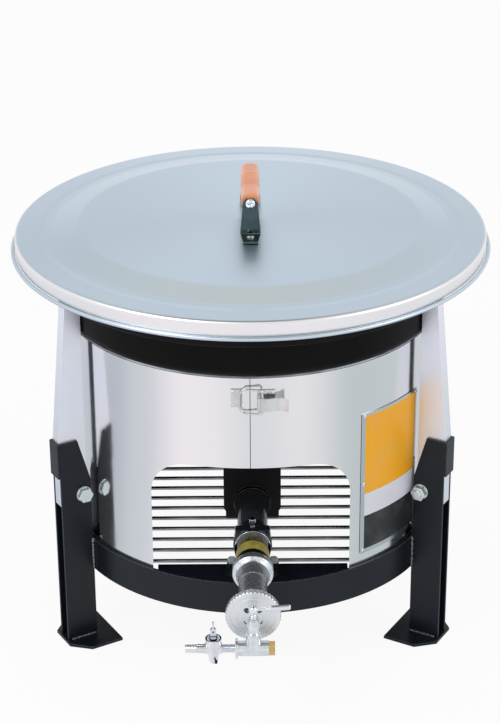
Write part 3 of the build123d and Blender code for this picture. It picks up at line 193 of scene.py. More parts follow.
class Wiring:
    """Short hand for adding nodes to a node tree and joining them."""

    def __init__(self, tree: bpy.types.NodeTree) -> None:
        """Keep the tree that the nodes go into."""
        self.tree = tree

    def add(self, kind: str, settings: dict | None = None, **inputs: object) -> bpy.types.Node:
        """Add a node, set its properties and fill its inputs.

        Args:
            kind: The node's type name, without the leading ShaderNode.
            settings: Properties of the node itself.
            inputs: Values or sockets for its inputs, by name with _ for a space, or i and a number.

        Returns:
            The new node.
        """
        node = self.tree.nodes.new("ShaderNode" + kind)
        for name, value in (settings or {}).items():
            setattr(node, name, value)
        for name, value in inputs.items():
            key = int(name[1:]) if name[0] == "i" and name[1:].isdigit() else name.replace("_", " ")
            if isinstance(value, bpy.types.NodeSocket):
                self.tree.links.new(value, node.inputs[key])
            else:
                node.inputs[key].default_value = value
        return node

    def math(self, operation: str, *values: object) -> bpy.types.NodeSocket:
        """Add a Math node.

        Args:
            operation: The operation's name.
            values: Numbers or sockets, in order.

        Returns:
            The node's result.
        """
        inputs = {f"i{index}": value for index, value in enumerate(values)}
        return self.add("Math", {"operation": operation}, **inputs).outputs[0]

    def span(self, value: object, low: float, high: float, to_low: float,
             to_high: float) -> bpy.types.NodeSocket:
        """Map one range of values to another, held at its ends.

        Args:
            value: The socket to map.
            low: Lower end of what comes in.
            high: Upper end of what comes in.
            to_low: What the lower end becomes.
            to_high: What the upper end becomes.

        Returns:
            The mapped value.
        """
        node = self.add("MapRange", {"interpolation_type": "SMOOTHSTEP"}, Value=value)
        for key, number in zip(("From Min", "From Max", "To Min", "To Max"), (low, high, to_low, to_high)):
            node.inputs[key].default_value = number
        return node.outputs[0]

    def blend(self, factor: object, first: object, second: object) -> bpy.types.NodeSocket:
        """Mix two colours.

        Args:
            factor: Share of the second colour.
            first: Colour or socket at 0.
            second: Colour or socket at 1.

        Returns:
            The mixed colour.
        """
        node = self.add("Mix", {"data_type": "RGBA"})
        sockets = (node.inputs["Factor"], node.inputs[6], node.inputs[7])
        for socket, value in zip(sockets, (factor, first, second)):
            if isinstance(value, bpy.types.NodeSocket):
                self.tree.links.new(value, socket)
            else:
                socket.default_value = (*value, 1.0) if isinstance(value, tuple) else value
        return node.outputs[2]

    def noise(self, vector: object, scale: object, detail: float = 3.0) -> bpy.types.NodeSocket:
        """Add a noise of the given scale and return its value."""
        return self.add("TexNoise", Vector=vector, Scale=scale, Detail=detail).outputs[0]


class Effects:
    """Shared node groups, each built once: they put out colours, masks and heights only."""

    turned_drift = 0.006
    rolled_drift = 0.02

    def __init__(self) -> None:
        """Start with no group built."""
        self.groups: dict[str, bpy.types.NodeTree] = {}

    def _group(self, name: str, inputs: dict[str, str],
               outputs: dict[str, str]) -> tuple[Wiring, dict, object]:
        """Start a node group.

        Args:
            name: The group's name.
            inputs: Its inputs, by name, as socket kinds.
            outputs: Its outputs, by name, as socket kinds.

        Returns:
            Its wiring, its input sockets by name and its output node.
        """
        tree = bpy.data.node_groups.new(name, "ShaderNodeTree")
        for key, kind in inputs.items():
            tree.interface.new_socket(key, in_out="INPUT", socket_type="NodeSocket" + kind)
        for key, kind in outputs.items():
            tree.interface.new_socket(key, in_out="OUTPUT", socket_type="NodeSocket" + kind)
        source = tree.nodes.new("NodeGroupInput")
        sink = tree.nodes.new("NodeGroupOutput")
        self.groups[name] = tree
        return Wiring(tree), {key: source.outputs[key] for key in inputs}, sink

    def clouds(self) -> bpy.types.NodeTree:
        """Slow changes of tone: mixes two colours and gives the mask it used."""
        if "tone_clouds" not in self.groups:
            inputs = {"Vector": "Vector", "Scale": "Float", "Light": "Color", "Dark": "Color"}
            wires, given, sink = self._group("tone_clouds", inputs, {"Color": "Color", "Mask": "Float"})
            coarse = wires.noise(given["Vector"], given["Scale"], 4.0)
            mask = wires.span(coarse, 0.34, 0.68, 0.0, 1.0)
            colour = wires.blend(mask, given["Light"], given["Dark"])
            wires.tree.links.new(colour, sink.inputs["Color"])
            wires.tree.links.new(mask, sink.inputs["Mask"])
        return self.groups["tone_clouds"]

    def grain(self, kind: Grain) -> bpy.types.NodeTree:
        """The fine marks of one way of making, as a height.

        Args:
            kind: How the surface was made.

        Returns:
            The node group.
        """
        name = "grain_" + kind.value
        if name in self.groups:
            return self.groups[name]
        wires, given, sink = self._group(name, {"Vector": "Vector", "Scale": "Float"}, {"Height": "Float"})
        vector, scale = given["Vector"], given["Scale"]
        if kind in (Grain.TURNED, Grain.ROLLED):
            x, y, z = wires.add("SeparateXYZ", Vector=vector).outputs
            squares = wires.math("MULTIPLY", x, x), wires.math("MULTIPLY", y, y)
            radius = wires.math("SQRT", wires.math("ADD", *squares))
            angle = wires.math("ARCTAN2", y, x)
            drift = self.turned_drift if kind is Grain.TURNED else self.rolled_drift
            slow = wires.math("MULTIPLY", angle, drift)
            lines = wires.add("CombineXYZ", X=radius if kind is Grain.TURNED else slow, Y=z,
                              Z=slow if kind is Grain.TURNED else 0.0).outputs[0]
            height = wires.noise(lines, scale, 3.0)
        elif kind is Grain.SPANGLE:
            cells = wires.add("TexVoronoi", {"feature": "SMOOTH_F1"}, Vector=vector, Scale=scale)
            height = cells.outputs["Distance"]
        elif kind is Grain.CAST:
            fine = wires.noise(vector, scale, 6.0)
            pits = wires.add("TexVoronoi", Vector=vector, Scale=wires.math("MULTIPLY", scale, 0.45))
            dips = wires.span(pits.outputs["Distance"], 0.0, 0.35, -0.6, 0.0)
            height = wires.math("ADD", fine, dips)
        else:
            height = wires.noise(vector, scale, 2.0 if kind is Grain.PEEL else 5.0)
        wires.tree.links.new(height, sink.inputs["Height"])
        return self.groups[name]

    def wear_and_glint(self) -> bpy.types.NodeTree:
        """Worn edges and painted edge highlights, as one mask on the faces of rounded edges that breaks up
        along them.
        """
        if "edge_wear_and_painted_glint_mask" not in self.groups:
            inputs = {"Vector": "Vector", "Amount": "Float"}
            wires, given, sink = self._group("edge_wear_and_painted_glint_mask", inputs, {"Mask": "Float"})
            raised = wires.add("Attribute", {"attribute_name": EDGE_WEAR_GLINT_ATTR}).outputs["Fac"]
            broken = wires.span(wires.noise(given["Vector"], 240.0, 4.0), 0.4, 0.62, 0.25, 1.0)
            mask = wires.math("MULTIPLY", wires.math("MULTIPLY", raised, broken), given["Amount"])
            wires.tree.links.new(mask, sink.inputs["Mask"])
        return self.groups["edge_wear_and_painted_glint_mask"]

    def dust(self) -> bpy.types.NodeTree:
        """Dust on what faces up, as a mask."""
        if "top_dust" not in self.groups:
            inputs = {"Vector": "Vector", "Amount": "Float"}
            wires, given, sink = self._group("top_dust", inputs, {"Mask": "Float"})
            facing = wires.add("SeparateXYZ", Vector=wires.add("NewGeometry").outputs["Normal"]).outputs[2]
            up = wires.span(facing, 0.5, 1.0, 0.0, 1.0)
            patches = wires.span(wires.noise(given["Vector"], 55.0, 6.0), 0.42, 0.7, 0.2, 1.0)
            mask = wires.math("MULTIPLY", wires.math("MULTIPLY", up, patches), given["Amount"])
            wires.tree.links.new(mask, sink.inputs["Mask"])
        return self.groups["top_dust"]


class Palette:
    """Makes each finish's material once for each axis that it is used about."""

    def __init__(self) -> None:
        """Start with no material made."""
        self.effects = Effects()
        self.made: dict[tuple[str, str], bpy.types.Material] = {}

    def _start(self, name: str) -> tuple[bpy.types.Material, Wiring, bpy.types.Node]:
        """Make an empty material with its shader.

        Args:
            name: The material's name.

        Returns:
            The material, its wiring and its main shader.
        """
        material = bpy.data.materials.new(name)
        material.use_nodes = True
        wires = Wiring(material.node_tree)
        wires.tree.nodes.clear()
        shader = wires.add("BsdfPrincipled")
        wires.add("OutputMaterial", Surface=shader.outputs[0])
        return material, wires, shader

    def _centred(self, wires: Wiring, lathe: Lathe) -> bpy.types.NodeSocket:
        """Object coordinates about an axis, which then stands upright.

        Args:
            wires: The material's wiring.
            lathe: The axis.

        Returns:
            The moved coordinates.
        """
        place = wires.add("TexCoord").outputs["Object"]
        centre, turn = lathe.value
        moved = wires.add("Mapping", Vector=place, Location=tuple(-c for c in centre)).outputs[0]
        return wires.add("Mapping", Vector=moved, Rotation=turn).outputs[0] if any(turn) else moved

    def _layers(self, wires: Wiring, shader: bpy.types.Node, finish: Finish,
                vector: bpy.types.NodeSocket) -> None:
        """Build a finish's tone, wear, roughness and relief into a shader.

        Args:
            wires: The material's wiring.
            shader: The shader to feed.
            finish: What the surface is.
            vector: Coordinates about the piece's axis.
        """
        tone = wires.add("Group", {"node_tree": self.effects.clouds()}, Vector=vector,
                         Scale=finish.cloud_scale, Light=(*finish.light, 1.0), Dark=(*finish.dark, 1.0))
        colour = tone.outputs["Color"]
        # The skirt is painted lighter: a painted reflection of the pale floor.
        if finish.painted_skirt_reflection:
            bright = wires.add("Attribute", {"attribute_name": PAINTED_SKIRT_REFLECTION}).outputs["Fac"]
            colour = wires.blend(bright, colour, finish.painted_skirt_reflection)
        # Rounded edges are lightened here: partly wear, partly a painted highlight.
        if finish.wear_and_glint:
            wear_and_glint = wires.add("Group", {"node_tree": self.effects.wear_and_glint()}, Vector=vector, Amount=finish.wear_and_glint)
            colour = wires.blend(wear_and_glint.outputs["Mask"], colour, finish.wear_glint_colour)
        if finish.dust:
            dust = wires.add("Group", {"node_tree": self.effects.dust()}, Vector=vector, Amount=finish.dust)
            colour = wires.blend(dust.outputs["Mask"], colour, (0.4, 0.4, 0.4))
        wires.tree.links.new(colour, shader.inputs["Base Color"])
        spread = finish.roughness_spread
        streaks = wires.noise(vector, finish.cloud_scale * 3.0, 5.0)
        rough = wires.span(streaks, 0.3, 0.7, finish.roughness - spread, finish.roughness + spread)
        wires.tree.links.new(rough, shader.inputs["Roughness"])
        marks = wires.add("Group", {"node_tree": self.effects.grain(finish.grain)}, Vector=vector,
                          Scale=finish.grain_scale)
        bump = wires.add("Bump", Strength=1.0, Distance=finish.relief, Height=marks.outputs["Height"])
        wires.tree.links.new(bump.outputs[0], shader.inputs["Normal"])
        shader.inputs["Metallic"].default_value = finish.metallic
        shader.inputs["Specular IOR Level"].default_value = finish.specular
        shader.inputs["Coat Weight"].default_value = finish.coat
        shader.inputs["Coat Roughness"].default_value = finish.coat_roughness
        if finish.anisotropy:
            shader.inputs["Anisotropic"].default_value = finish.anisotropy
            tangent = wires.add("Tangent", {"direction_type": "RADIAL", "axis": "Z"})
            wires.tree.links.new(tangent.outputs[0], shader.inputs["Tangent"])

    def material(self, finish: Finish, lathe: Lathe = Lathe.STOVE) -> bpy.types.Material:
        """Give a finish's material about one axis.

        Args:
            finish: What the surface is.
            lathe: The axis that its marks go round.

        Returns:
            The material.
        """
        key = (finish.name, lathe.name)
        if key not in self.made:
            material, wires, shader = self._start(f"{finish.name}_{lathe.name.lower()}")
            self._layers(wires, shader, finish, self._centred(wires, lathe))
            self.made[key] = material
        return self.made[key]

    def banded_plate(self, low: float, high: float, start: float, end: float) -> bpy.types.Material:
        """Enamelled plate: plain amber, white and black fields inside a bare metal edge.

        Args:
            low: Height of the plate's lower edge.
            high: Height of its upper edge.
            start: Azimuth of its left edge, in radians.
            end: Azimuth of its right edge, in radians.

        Returns:
            The material.
        """
        material, wires, shader = self._start("plate_enamel_bands")
        vector = self._centred(wires, Lathe.STOVE)
        x, y, z = wires.add("SeparateXYZ", Vector=vector).outputs
        azimuth = wires.math("ARCTAN2", x, wires.math("MULTIPLY", y, -1.0))
        height = high - low
        edge, soft, turn_soft = 0.0055, 0.0003, 0.001
        white_top, black_top = low + 0.43 * height, low + 0.27 * height
        amber, white, black = srgb(252, 178, 28), srgb(226, 228, 238), srgb(36, 39, 44)
        wander = wires.span(wires.noise(vector, 400.0, 3.0), 0.3, 0.7, -0.0002, 0.0002)
        level = wires.math("ADD", z, wander)
        to_white = wires.span(level, white_top - soft, white_top + soft, 1.0, 0.0)
        to_black = wires.span(level, black_top - soft, black_top + soft, 1.0, 0.0)
        colour = wires.blend(to_black, wires.blend(to_white, amber, white), black)
        faded = wires.noise(vector, 30.0, 4.0)
        colour = wires.blend(wires.span(faded, 0.4, 0.8, 0.0, 0.12), colour, (0.5, 0.45, 0.4))
        left, right = start + edge / SHEET_RADIUS, end - edge / SHEET_RADIUS * 0.5
        bottom, top = low + edge, high - edge * 0.6
        inside = wires.span(azimuth, left - turn_soft, left + turn_soft, 0.0, 1.0)
        limits = ((azimuth, right, turn_soft, 1.0), (z, bottom, soft, 0.0), (z, top, soft, 1.0))
        for value, limit, width, inner in limits:
            mask = wires.span(value, limit - width, limit + width, inner, 1.0 - inner)
            inside = wires.math("MULTIPLY", inside, mask)
        scuffs = wires.span(wires.noise(vector, 900.0, 6.0), 0.68, 0.74, 0.0, 0.5)
        inside = wires.math("MULTIPLY", inside, wires.math("SUBTRACT", 1.0, scuffs))
        wires.tree.links.new(wires.blend(inside, (0.62, 0.66, 0.68), colour), shader.inputs["Base Color"])
        wires.tree.links.new(wires.math("SUBTRACT", 1.0, inside), shader.inputs["Metallic"])
        wires.tree.links.new(wires.span(inside, 0.0, 1.0, 0.22, 0.34), shader.inputs["Roughness"])
        marks = wires.add("Group", {"node_tree": self.effects.grain(Grain.PEEL)}, Vector=vector, Scale=700.0)
        step = wires.math("ADD", wires.math("MULTIPLY", inside, 1.5), marks.outputs["Height"])
        bump = wires.add("Bump", Strength=1.0, Distance=0.00004, Height=step)
        wires.tree.links.new(bump.outputs[0], shader.inputs["Normal"])
        shader.inputs["Specular IOR Level"].default_value = 0.35
        self.made[("plate_enamel_bands", "STOVE")] = material
        return material


class Shape:
    """Mesh work shared by the sub-assemblies, all by bmesh operators."""

    @staticmethod
    def finish_mesh(bm: bmesh.types.BMesh, name: str, sharp: float = 35.0) -> bpy.types.Object:
        """Turn a bmesh into an object with smooth faces and weighted normals.

        Args:
            bm: The mesh, which is freed.
            name: The object's name.
            sharp: Angle past which an edge stays sharp, in degrees.

        Returns:
            The object, at the origin.
        """
        mesh = bpy.data.meshes.new(name)
        bm.to_mesh(mesh)
        bm.free()
        mesh.shade_smooth()
        mesh.set_sharp_from_angle(angle=math.radians(sharp))
        piece = bpy.data.objects.new(name, mesh)
        bpy.context.scene.collection.objects.link(piece)
        weighted = piece.modifiers.new("flat_faces", "WEIGHTED_NORMAL")
        weighted.keep_sharp = True
        return Shape.applied(piece)

    @staticmethod
    def applied(piece: bpy.types.Object) -> bpy.types.Object:
        """Apply all the modifiers of a piece."""
        graph = bpy.context.evaluated_depsgraph_get()
        mesh = bpy.data.meshes.new_from_object(piece.evaluated_get(graph))
        piece.modifiers.clear()
        piece.data = mesh
        return piece

    @staticmethod
    def softened(node: str, width: float, segments: int = 2) -> bmesh.types.BMesh:
        """Copy a node's mesh, merge it and round its hard edges.

        Args:
            node: The node's name.
            width: Width of the rounding.
            segments: Steps across the rounding.

        Returns:
            The rounded copy.
        """
        bm = bmesh.new()
        bm.from_mesh(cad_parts[node].data)
        bmesh.ops.remove_doubles(bm, verts=bm.verts, dist=2 * MERGE_DISTANCE)
        bmesh.ops.dissolve_limit(bm, angle_limit=FLAT_ANGLE, verts=bm.verts, edges=bm.edges)
        hard = [e for e in bm.edges if len(e.link_faces) == 2 and e.calc_face_angle(0.0) > HARD_ANGLE]
        # The rounded faces take the mask for worn edges and painted edge highlights.
        layer = bm.faces.layers.float.new(EDGE_WEAR_GLINT_ATTR)
        rounding = bmesh.ops.bevel(bm, geom=hard, offset=width, offset_type="OFFSET", segments=segments,
                                   profile=0.5, affect="EDGES", clamp_overlap=True, material=-1)
        for face in rounding["faces"]:
            face[layer] = 1.0
        return bm

    @staticmethod
    def turned(profile: list[tuple[float, float]], rounded: dict[int, float], steps: int,
               closed: bool = False) -> bmesh.types.BMesh:
        """Turn a profile of radius and height about the upright axis through the origin.

        Args:
            profile: Points by radius and height.
            rounded: Rounding of single points, by their index.
            steps: Steps of the full turn.
            closed: Whether the profile's last point joins its first.

        Returns:
            The turned mesh, with its faces outwards.
        """
        bm = bmesh.new()
        points = [bm.verts.new((radius, 0.0, height)) for radius, height in profile]
        for first, second in zip(points, points[1:]):
            bm.edges.new((first, second))
        if closed:
            bm.edges.new((points[-1], points[0]))
        for index, radius in rounded.items():
            bmesh.ops.bevel(bm, geom=[points[index]], offset=radius, offset_type="OFFSET", segments=6,
                            profile=0.5, affect="VERTICES", clamp_overlap=True, material=-1)
        bmesh.ops.spin(bm, geom=bm.verts[:] + bm.edges[:], cent=(0, 0, 0), axis=(0, 0, 1), angle=FULL_TURN,
                       steps=steps, use_merge=True, use_duplicate=False)
        bmesh.ops.remove_doubles(bm, verts=bm.verts, dist=MERGE_DISTANCE)
        bmesh.ops.recalc_face_normals(bm, faces=bm.faces)
        return bm

    @staticmethod
    def move(bm: bmesh.types.BMesh, place: Matrix) -> bmesh.types.BMesh:
        """Put a mesh in its place."""
        bmesh.ops.transform(bm, matrix=place, verts=bm.verts)
        return bm

    @staticmethod
    def cut(piece: bpy.types.Object, tools: list[bpy.types.Object]) -> bpy.types.Object:
        """Cut a piece with tools, which are then removed.

        Args:
            piece: The piece to cut.
            tools: Objects to cut it with.

        Returns:
            The cut piece.
        """
        for tool in tools:
            boolean = piece.modifiers.new("cut", "BOOLEAN")
            boolean.operation = "DIFFERENCE"
            boolean.solver = "EXACT"
            boolean.object = tool
        Shape.applied(piece)
        for tool in tools:
            bpy.data.objects.remove(tool)
        return piece


@dataclass
class SubAssembly:
    """A part of the stove that dresses its nodes and builds its own pieces."""

    palette: Palette
    pieces: list[str] = field(default_factory=list)

    def dress(self, nodes: list[str], finish: Finish, lathe: Lathe = Lathe.STOVE) -> None:
        """Give nodes of the frame a finish.

        Args:
            nodes: The nodes' names.
            finish: What their surface is.
            lathe: The axis that its marks go round.
        """
        for name in nodes:
            self.paint(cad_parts[name], self.palette.material(finish, lathe))
            self.pieces.append(name)

    def paint(self, piece: bpy.types.Object, material: bpy.types.Material) -> None:
        """Set one material on every slot of a piece."""
        if not piece.material_slots:
            piece.data.materials.append(material)
        for slot in piece.material_slots:
            slot.material = material

    def seat(self, piece: bpy.types.Object, body: Body, slot: str, material: bpy.types.Material,
             replaced: list[str] | None = None) -> bpy.types.Object:
        """Put a new piece on its body, with its material.

        Args:
            piece: The new piece.
            body: The body that it rides on.
            slot: The record's material slot, which is not used.
            material: Its material.
            replaced: Nodes that it stands for.

        Returns:
            The piece.
        """
        piece.data.materials.clear()
        piece.data.materials.append(material)
        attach(piece, body.value)
        if replaced:
            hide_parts(*replaced)
        self.pieces.append(piece.name)
        return piece

    def soften(self, nodes: list[str], width: float, finish: Finish, body: Body = Body.STOVE,
               lathe: Lathe = Lathe.STOVE) -> None:
        """Stand a copy with rounded edges in for each of some nodes.

        Args:
            nodes: The nodes' names.
            width: Width of the rounding.
            finish: What their surface is.
            body: The body that they ride on.
            lathe: The axis that the surface's marks go round.
        """
        for name in nodes:
            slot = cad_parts[name].material_slots[0].material.name
            piece = Shape.finish_mesh(Shape.softened(name, width), name + "_soft")
            self.seat(piece, body, slot, self.palette.material(finish, lathe), [name])

    def report(self) -> None:
        """Log every piece that was built or dressed."""
        for name in self.pieces:
            log.info("%s: %s", type(self).__name__, name)


def about_stove(azimuth: float, radius: float, height: float, along: float = 0.0) -> Point:
    """Place a point by its azimuth from the front, its radius and its height.

    Args:
        azimuth: Degrees from the front, positive to the right.
        radius: Distance from the stove's axis.
        height: Height above the ground.
        along: Distance along the tangent.

    Returns:
        The point in the frame.
    """
    turn = math.radians(azimuth)
    x = radius * math.sin(turn) + along * math.cos(turn)
    y = STOVE_AXIS_Y - radius * math.cos(turn) + along * math.sin(turn)
    return (x, y, height)


@dataclass
class Stand(SubAssembly):
    """Ring, legs, feet, tabs and arms with their bolts and weld beads."""

    azimuths: tuple[float, ...] = (-60.0, 60.0, 180.0)
    ring_radius: float = 0.238
    ring_low: float = 0.0985
    ring_top: float = 0.1412
    leg_half_width: float = 0.011
    leg_front: float = 0.2381
    leg_back: float = 0.2786
    foot_top: float = 0.004
    bead_radius: float = 0.0021
    bead_pitch: float = 0.0026

    def bead(self, name: str, start: Point, end: Point, radius: float) -> None:
        """Lay a rippled weld bead between two points.

        Args:
            name: The piece's name.
            start: Where the bead starts.
            end: Where it ends.
            radius: Half of its width.
        """
        first, last = Vector(start), Vector(end)
        count = max(3, round((last - first).length / self.bead_pitch))
        aim = (last - first).to_track_quat("Z", "Y").to_matrix().to_4x4()
        bm = bmesh.new()
        for index in range(count + 1):
            swell = 1.0 + 0.16 * math.sin(index * 2.3) + 0.08 * math.sin(index * 5.1)
            place = Matrix.Translation(first.lerp(last, index / count)) @ aim
            place = place @ Matrix.Diagonal((swell, swell, 0.85, 1.0))
            bmesh.ops.create_icosphere(bm, subdivisions=2, radius=radius, matrix=place)
        piece = Shape.finish_mesh(bm, name, 60.0)
        self.seat(piece, Body.STOVE, "black_paint", self.palette.material(WELD))

    def build_beads(self) -> None:
        """Lay the beads that join legs to ring and legs to foot plates."""
        for azimuth, place in zip(self.azimuths, ("left", "right", "rear")):
            for side, word in ((-1, "a"), (1, "b")):
                along = side * (self.leg_half_width + 0.0006)
                low = about_stove(azimuth, self.ring_radius + 0.0009, self.ring_low + 0.004, along)
                high = about_stove(azimuth, self.ring_radius + 0.0009, self.ring_top + 0.0008, along)
                self.bead(f"ring_bead_{place}_{word}", low, high, self.bead_radius)
                inner = about_stove(azimuth, self.leg_front + 0.003, self.foot_top + 0.0006, along)
                outer = about_stove(azimuth, self.leg_back - 0.006, self.foot_top + 0.0006, along)
                self.bead(f"foot_bead_{place}_{word}", inner, outer, self.bead_radius * 0.85)

    def build(self) -> None:
        """Dress and build the whole stand."""
        self.soften(["base_ring"], 0.0006, BLACK_PAINT)
        sides = ("left", "right", "rear")
        self.soften([f"leg_{side}" for side in sides], 0.0009, BLACK_PAINT)
        self.soften([f"foot_{side}" for side in sides], 0.0006, BLACK_PAINT)
        self.soften(["stop_tabs"], 0.0006, BLACK_PAINT)
        self.soften([f"arm_{side}" for side in sides], 0.0008, GALVANISED)
        self.soften(["leg_bolts", "leg_nuts"], 0.0004, BOLT_ZINC)
        self.soften(["leg_washers"], 0.0003, BOLT_ZINC)
        self.build_beads()


@dataclass
class FireFloor(SubAssembly):
    """Bars across the ring and the angle that carries the burner line."""

    def build(self) -> None:
        """Dress the bars and the angle."""
        self.dress(["grate_bars"], GRATE_STEEL)
        self.soften(["burner_crossbar"], 0.0006, BLACK_PAINT)


@dataclass
class Windshield(SubAssembly):
    """Rolled sheet with its arch, the side plate and the latch."""

    radius: float = SHEET_RADIUS
    wall: float = 0.001
    arch_half_width: float = 0.1203
    arch_top: float = 0.297
    arch_rise: float = 0.003
    arch_corner: float = 0.048
    seam_x: float = -0.002
    seam_width: float = 0.0008
    plate_start: float = 34.2
    plate_end: float = 59.6
    steps: int = 360

    def arch_tool(self) -> bpy.types.Object:
        """Make the block that cuts the arch: straight sides, rounded corners and a low curved top."""
        half, corner = self.arch_half_width, self.arch_corner
        radius = (half**2 + self.arch_rise**2) / (2 * self.arch_rise)
        middle = self.arch_top - radius
        corner_height = middle + math.sqrt((radius - corner) ** 2 - (half - corner) ** 2)
        meet = math.atan2(corner_height - middle, half - corner)
        side = [(half, 0.05)]
        for index in range(17):
            turn = meet * index / 16
            side.append((half - corner + corner * math.cos(turn), corner_height + corner * math.sin(turn)))
        for index in range(1, 9):
            turn = meet + (math.pi / 2 - meet) * index / 8
            side.append((radius * math.cos(turn), middle + radius * math.sin(turn)))
        outline = side + [(-x, z) for x, z in reversed(side[:-1])]
        bm = bmesh.new()
        bm.faces.new([bm.verts.new((self.seam_x + x, 0.0, z)) for x, z in outline])
        sheet = bmesh.ops.extrude_face_region(bm, geom=bm.faces[:])
        moved = [v for v in sheet["geom"] if isinstance(v, bmesh.types.BMVert)]
        bmesh.ops.translate(bm, verts=moved, vec=(0.0, -0.27, 0.0))
        bmesh.ops.translate(bm, verts=bm.verts, vec=(0.0, STOVE_AXIS_Y, 0.0))
        bmesh.ops.recalc_face_normals(bm, faces=bm.faces)
        return Shape.finish_mesh(bm, "arch_tool")

    def build_sheet(self) -> None:
        """Roll the sheet, open it at its seam and cut its arch."""
        low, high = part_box("windshield")
        bm = bmesh.new()
        middle = self.radius - self.wall / 2
        gap = self.seam_width / self.radius
        start = -math.pi / 2 + (self.seam_x + self.seam_width / 2) / self.radius
        foot = bm.verts.new((middle * math.cos(start), middle * math.sin(start), low.z))
        head = bm.verts.new((middle * math.cos(start), middle * math.sin(start), high.z))
        edge = bm.edges.new((foot, head))
        bmesh.ops.spin(bm, geom=[foot, head, edge], cent=(0, 0, 0), axis=(0, 0, 1), angle=FULL_TURN - gap,
                       steps=self.steps, use_merge=False, use_duplicate=False)
        bmesh.ops.recalc_face_normals(bm, faces=bm.faces)
        bmesh.ops.solidify(bm, geom=bm.faces, thickness=self.wall)
        bmesh.ops.translate(bm, verts=bm.verts, vec=(0.0, STOVE_AXIS_Y, 0.0))
        outward = [(v.co.xy - Vector((0.0, STOVE_AXIS_Y))).length for v in bm.verts]
        log.info("Windshield wall from %.4f to %.4f", min(outward), max(outward))
        sheet = Shape.finish_mesh(bm, "windshield_sheet", 40.0)
        Shape.cut(sheet, [self.arch_tool()])
        sheet.data.shade_smooth()
        sheet.data.set_sharp_from_angle(angle=math.radians(30))
        self.seat(sheet, Body.STOVE, "stainless", self.palette.material(STAINLESS), ["windshield"])

    def build(self) -> None:
        """Dress and build the windshield."""
        self.build_sheet()
        low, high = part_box("side_plate")
        start, end = math.radians(self.plate_start), math.radians(self.plate_end)
        self.paint(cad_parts["side_plate"], self.palette.banded_plate(low.z, high.z, start, end))
        self.pieces.append("side_plate")
        self.dress(["side_plate_rivets", "latch_rivets", "latch_pin"], SMALL_STAINLESS)
        self.soften(["latch_catch", "latch_base"], 0.00025, SMALL_STAINLESS)
        self.soften(["latch_lever"], 0.0003, SMALL_STAINLESS, Body.LATCH_LEVER)
        self.dress(["latch_bail"], SMALL_STAINLESS)


@dataclass
class Burner(SubAssembly):
    """Cast throat, head and caps."""

    def build(self) -> None:
        """Dress the burner's castings."""
        self.soften(["burner_body"], 0.0015, BLACK_IRON)
        self.dress(["burner_head", "burner_cap_outer", "burner_cap_inner"], BLACK_IRON)


@dataclass
class BurnerLine(SubAssembly):
    """Tube, saddle, bands, bell, nipple and air disc."""

    bell_radius: float = 0.025
    bell_collar: float = 0.011
    bell_bore: float = 0.0172
    nipple_radius: float = 0.017

    def turned_in_line(self, name: str, outline: list[tuple[float, float]],
                       rounded: dict[int, float]) -> bpy.types.Object:
        """Turn a closed profile of radius and station about the burner line.

        Args:
            name: The piece's name.
            outline: Points by radius and distance in front of the stove's axis.
            rounded: Rounding of single points, by their index.

        Returns:
            The piece.
        """
        bm = Shape.turned(outline, rounded, 96, closed=True)
        place = Matrix.Translation((0.0, STOVE_AXIS_Y, LINE_HEIGHT)) @ Matrix.Rotation(math.pi / 2, 4, "X")
        return Shape.finish_mesh(Shape.move(bm, place), name, 40.0)

    def build_bell(self) -> None:
        """Turn the bell: a round rim that runs in a hollow curve down to the nipple."""
        low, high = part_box("bell_reducer")
        back, front = STOVE_AXIS_Y - high.y, STOVE_AXIS_Y - low.y
        collar = back + self.bell_collar
        waist = self.nipple_radius + 0.0005
        outline = [
            (self.bell_bore, back),
            (self.bell_radius - 0.001, back),
            (self.bell_radius, back + 0.002),
            (self.bell_radius, collar),
            (self.bell_radius - 0.0012, collar + 0.0012),
            (self.bell_radius - 0.0042, collar + 0.0030),
            (self.nipple_radius + 0.0020, collar + 0.0070),
            (waist, front),
            (self.bell_bore, front),
        ]
        bell = self.turned_in_line("bell_smooth", outline, {3: 0.0009, 4: 0.0009, 5: 0.0024, 6: 0.0030})
        metal = self.palette.material(CAST_ZINC, Lathe.LINE)
        self.seat(bell, Body.STOVE, "cast_zinc", metal, ["bell_reducer"])

    def build(self) -> None:
        """Dress and build the burner line."""
        self.soften(["mixing_tube"], 0.0006, TUBE_ENAMEL_PAINTED_LIGHTER, lathe=Lathe.LINE)
        self.soften(["pipe_saddle"], 0.0008, GLOSS_BLACK, lathe=Lathe.LINE)
        self.soften(["saddle_bolts", "saddle_nuts"], 0.0004, BOLT_ZINC_PAINTED_LIGHTER)
        self.soften(["sleeve_set_screw"], 0.0005, CHROME)
        self.soften(["clamp_ring"], 0.0005, CHROME, lathe=Lathe.LINE)
        self.dress(["thread_band"], OLIVE_SEAL, Lathe.LINE)
        self.soften(["yellow_band"], 0.0006, YELLOW_BAND, lathe=Lathe.LINE)
        self.soften(["socket"], 0.0012, BLACK_IRON, lathe=Lathe.LINE)
        self.build_bell()
        self.soften(["front_nipple"], 0.0007, CAST_ZINC, lathe=Lathe.LINE)
        self.soften(["lock_ring"], 0.0005, BLACK_IRON, lathe=Lathe.LINE)
        self.dress(["nozzle_holder"], SATIN_ZINC, Lathe.LINE)
        self.soften(["air_damper"], 0.00025, SATIN_ZINC, Body.AIR_DISC, Lathe.LINE)
        self.dress(["nozzle"], NICKEL, Lathe.LINE)


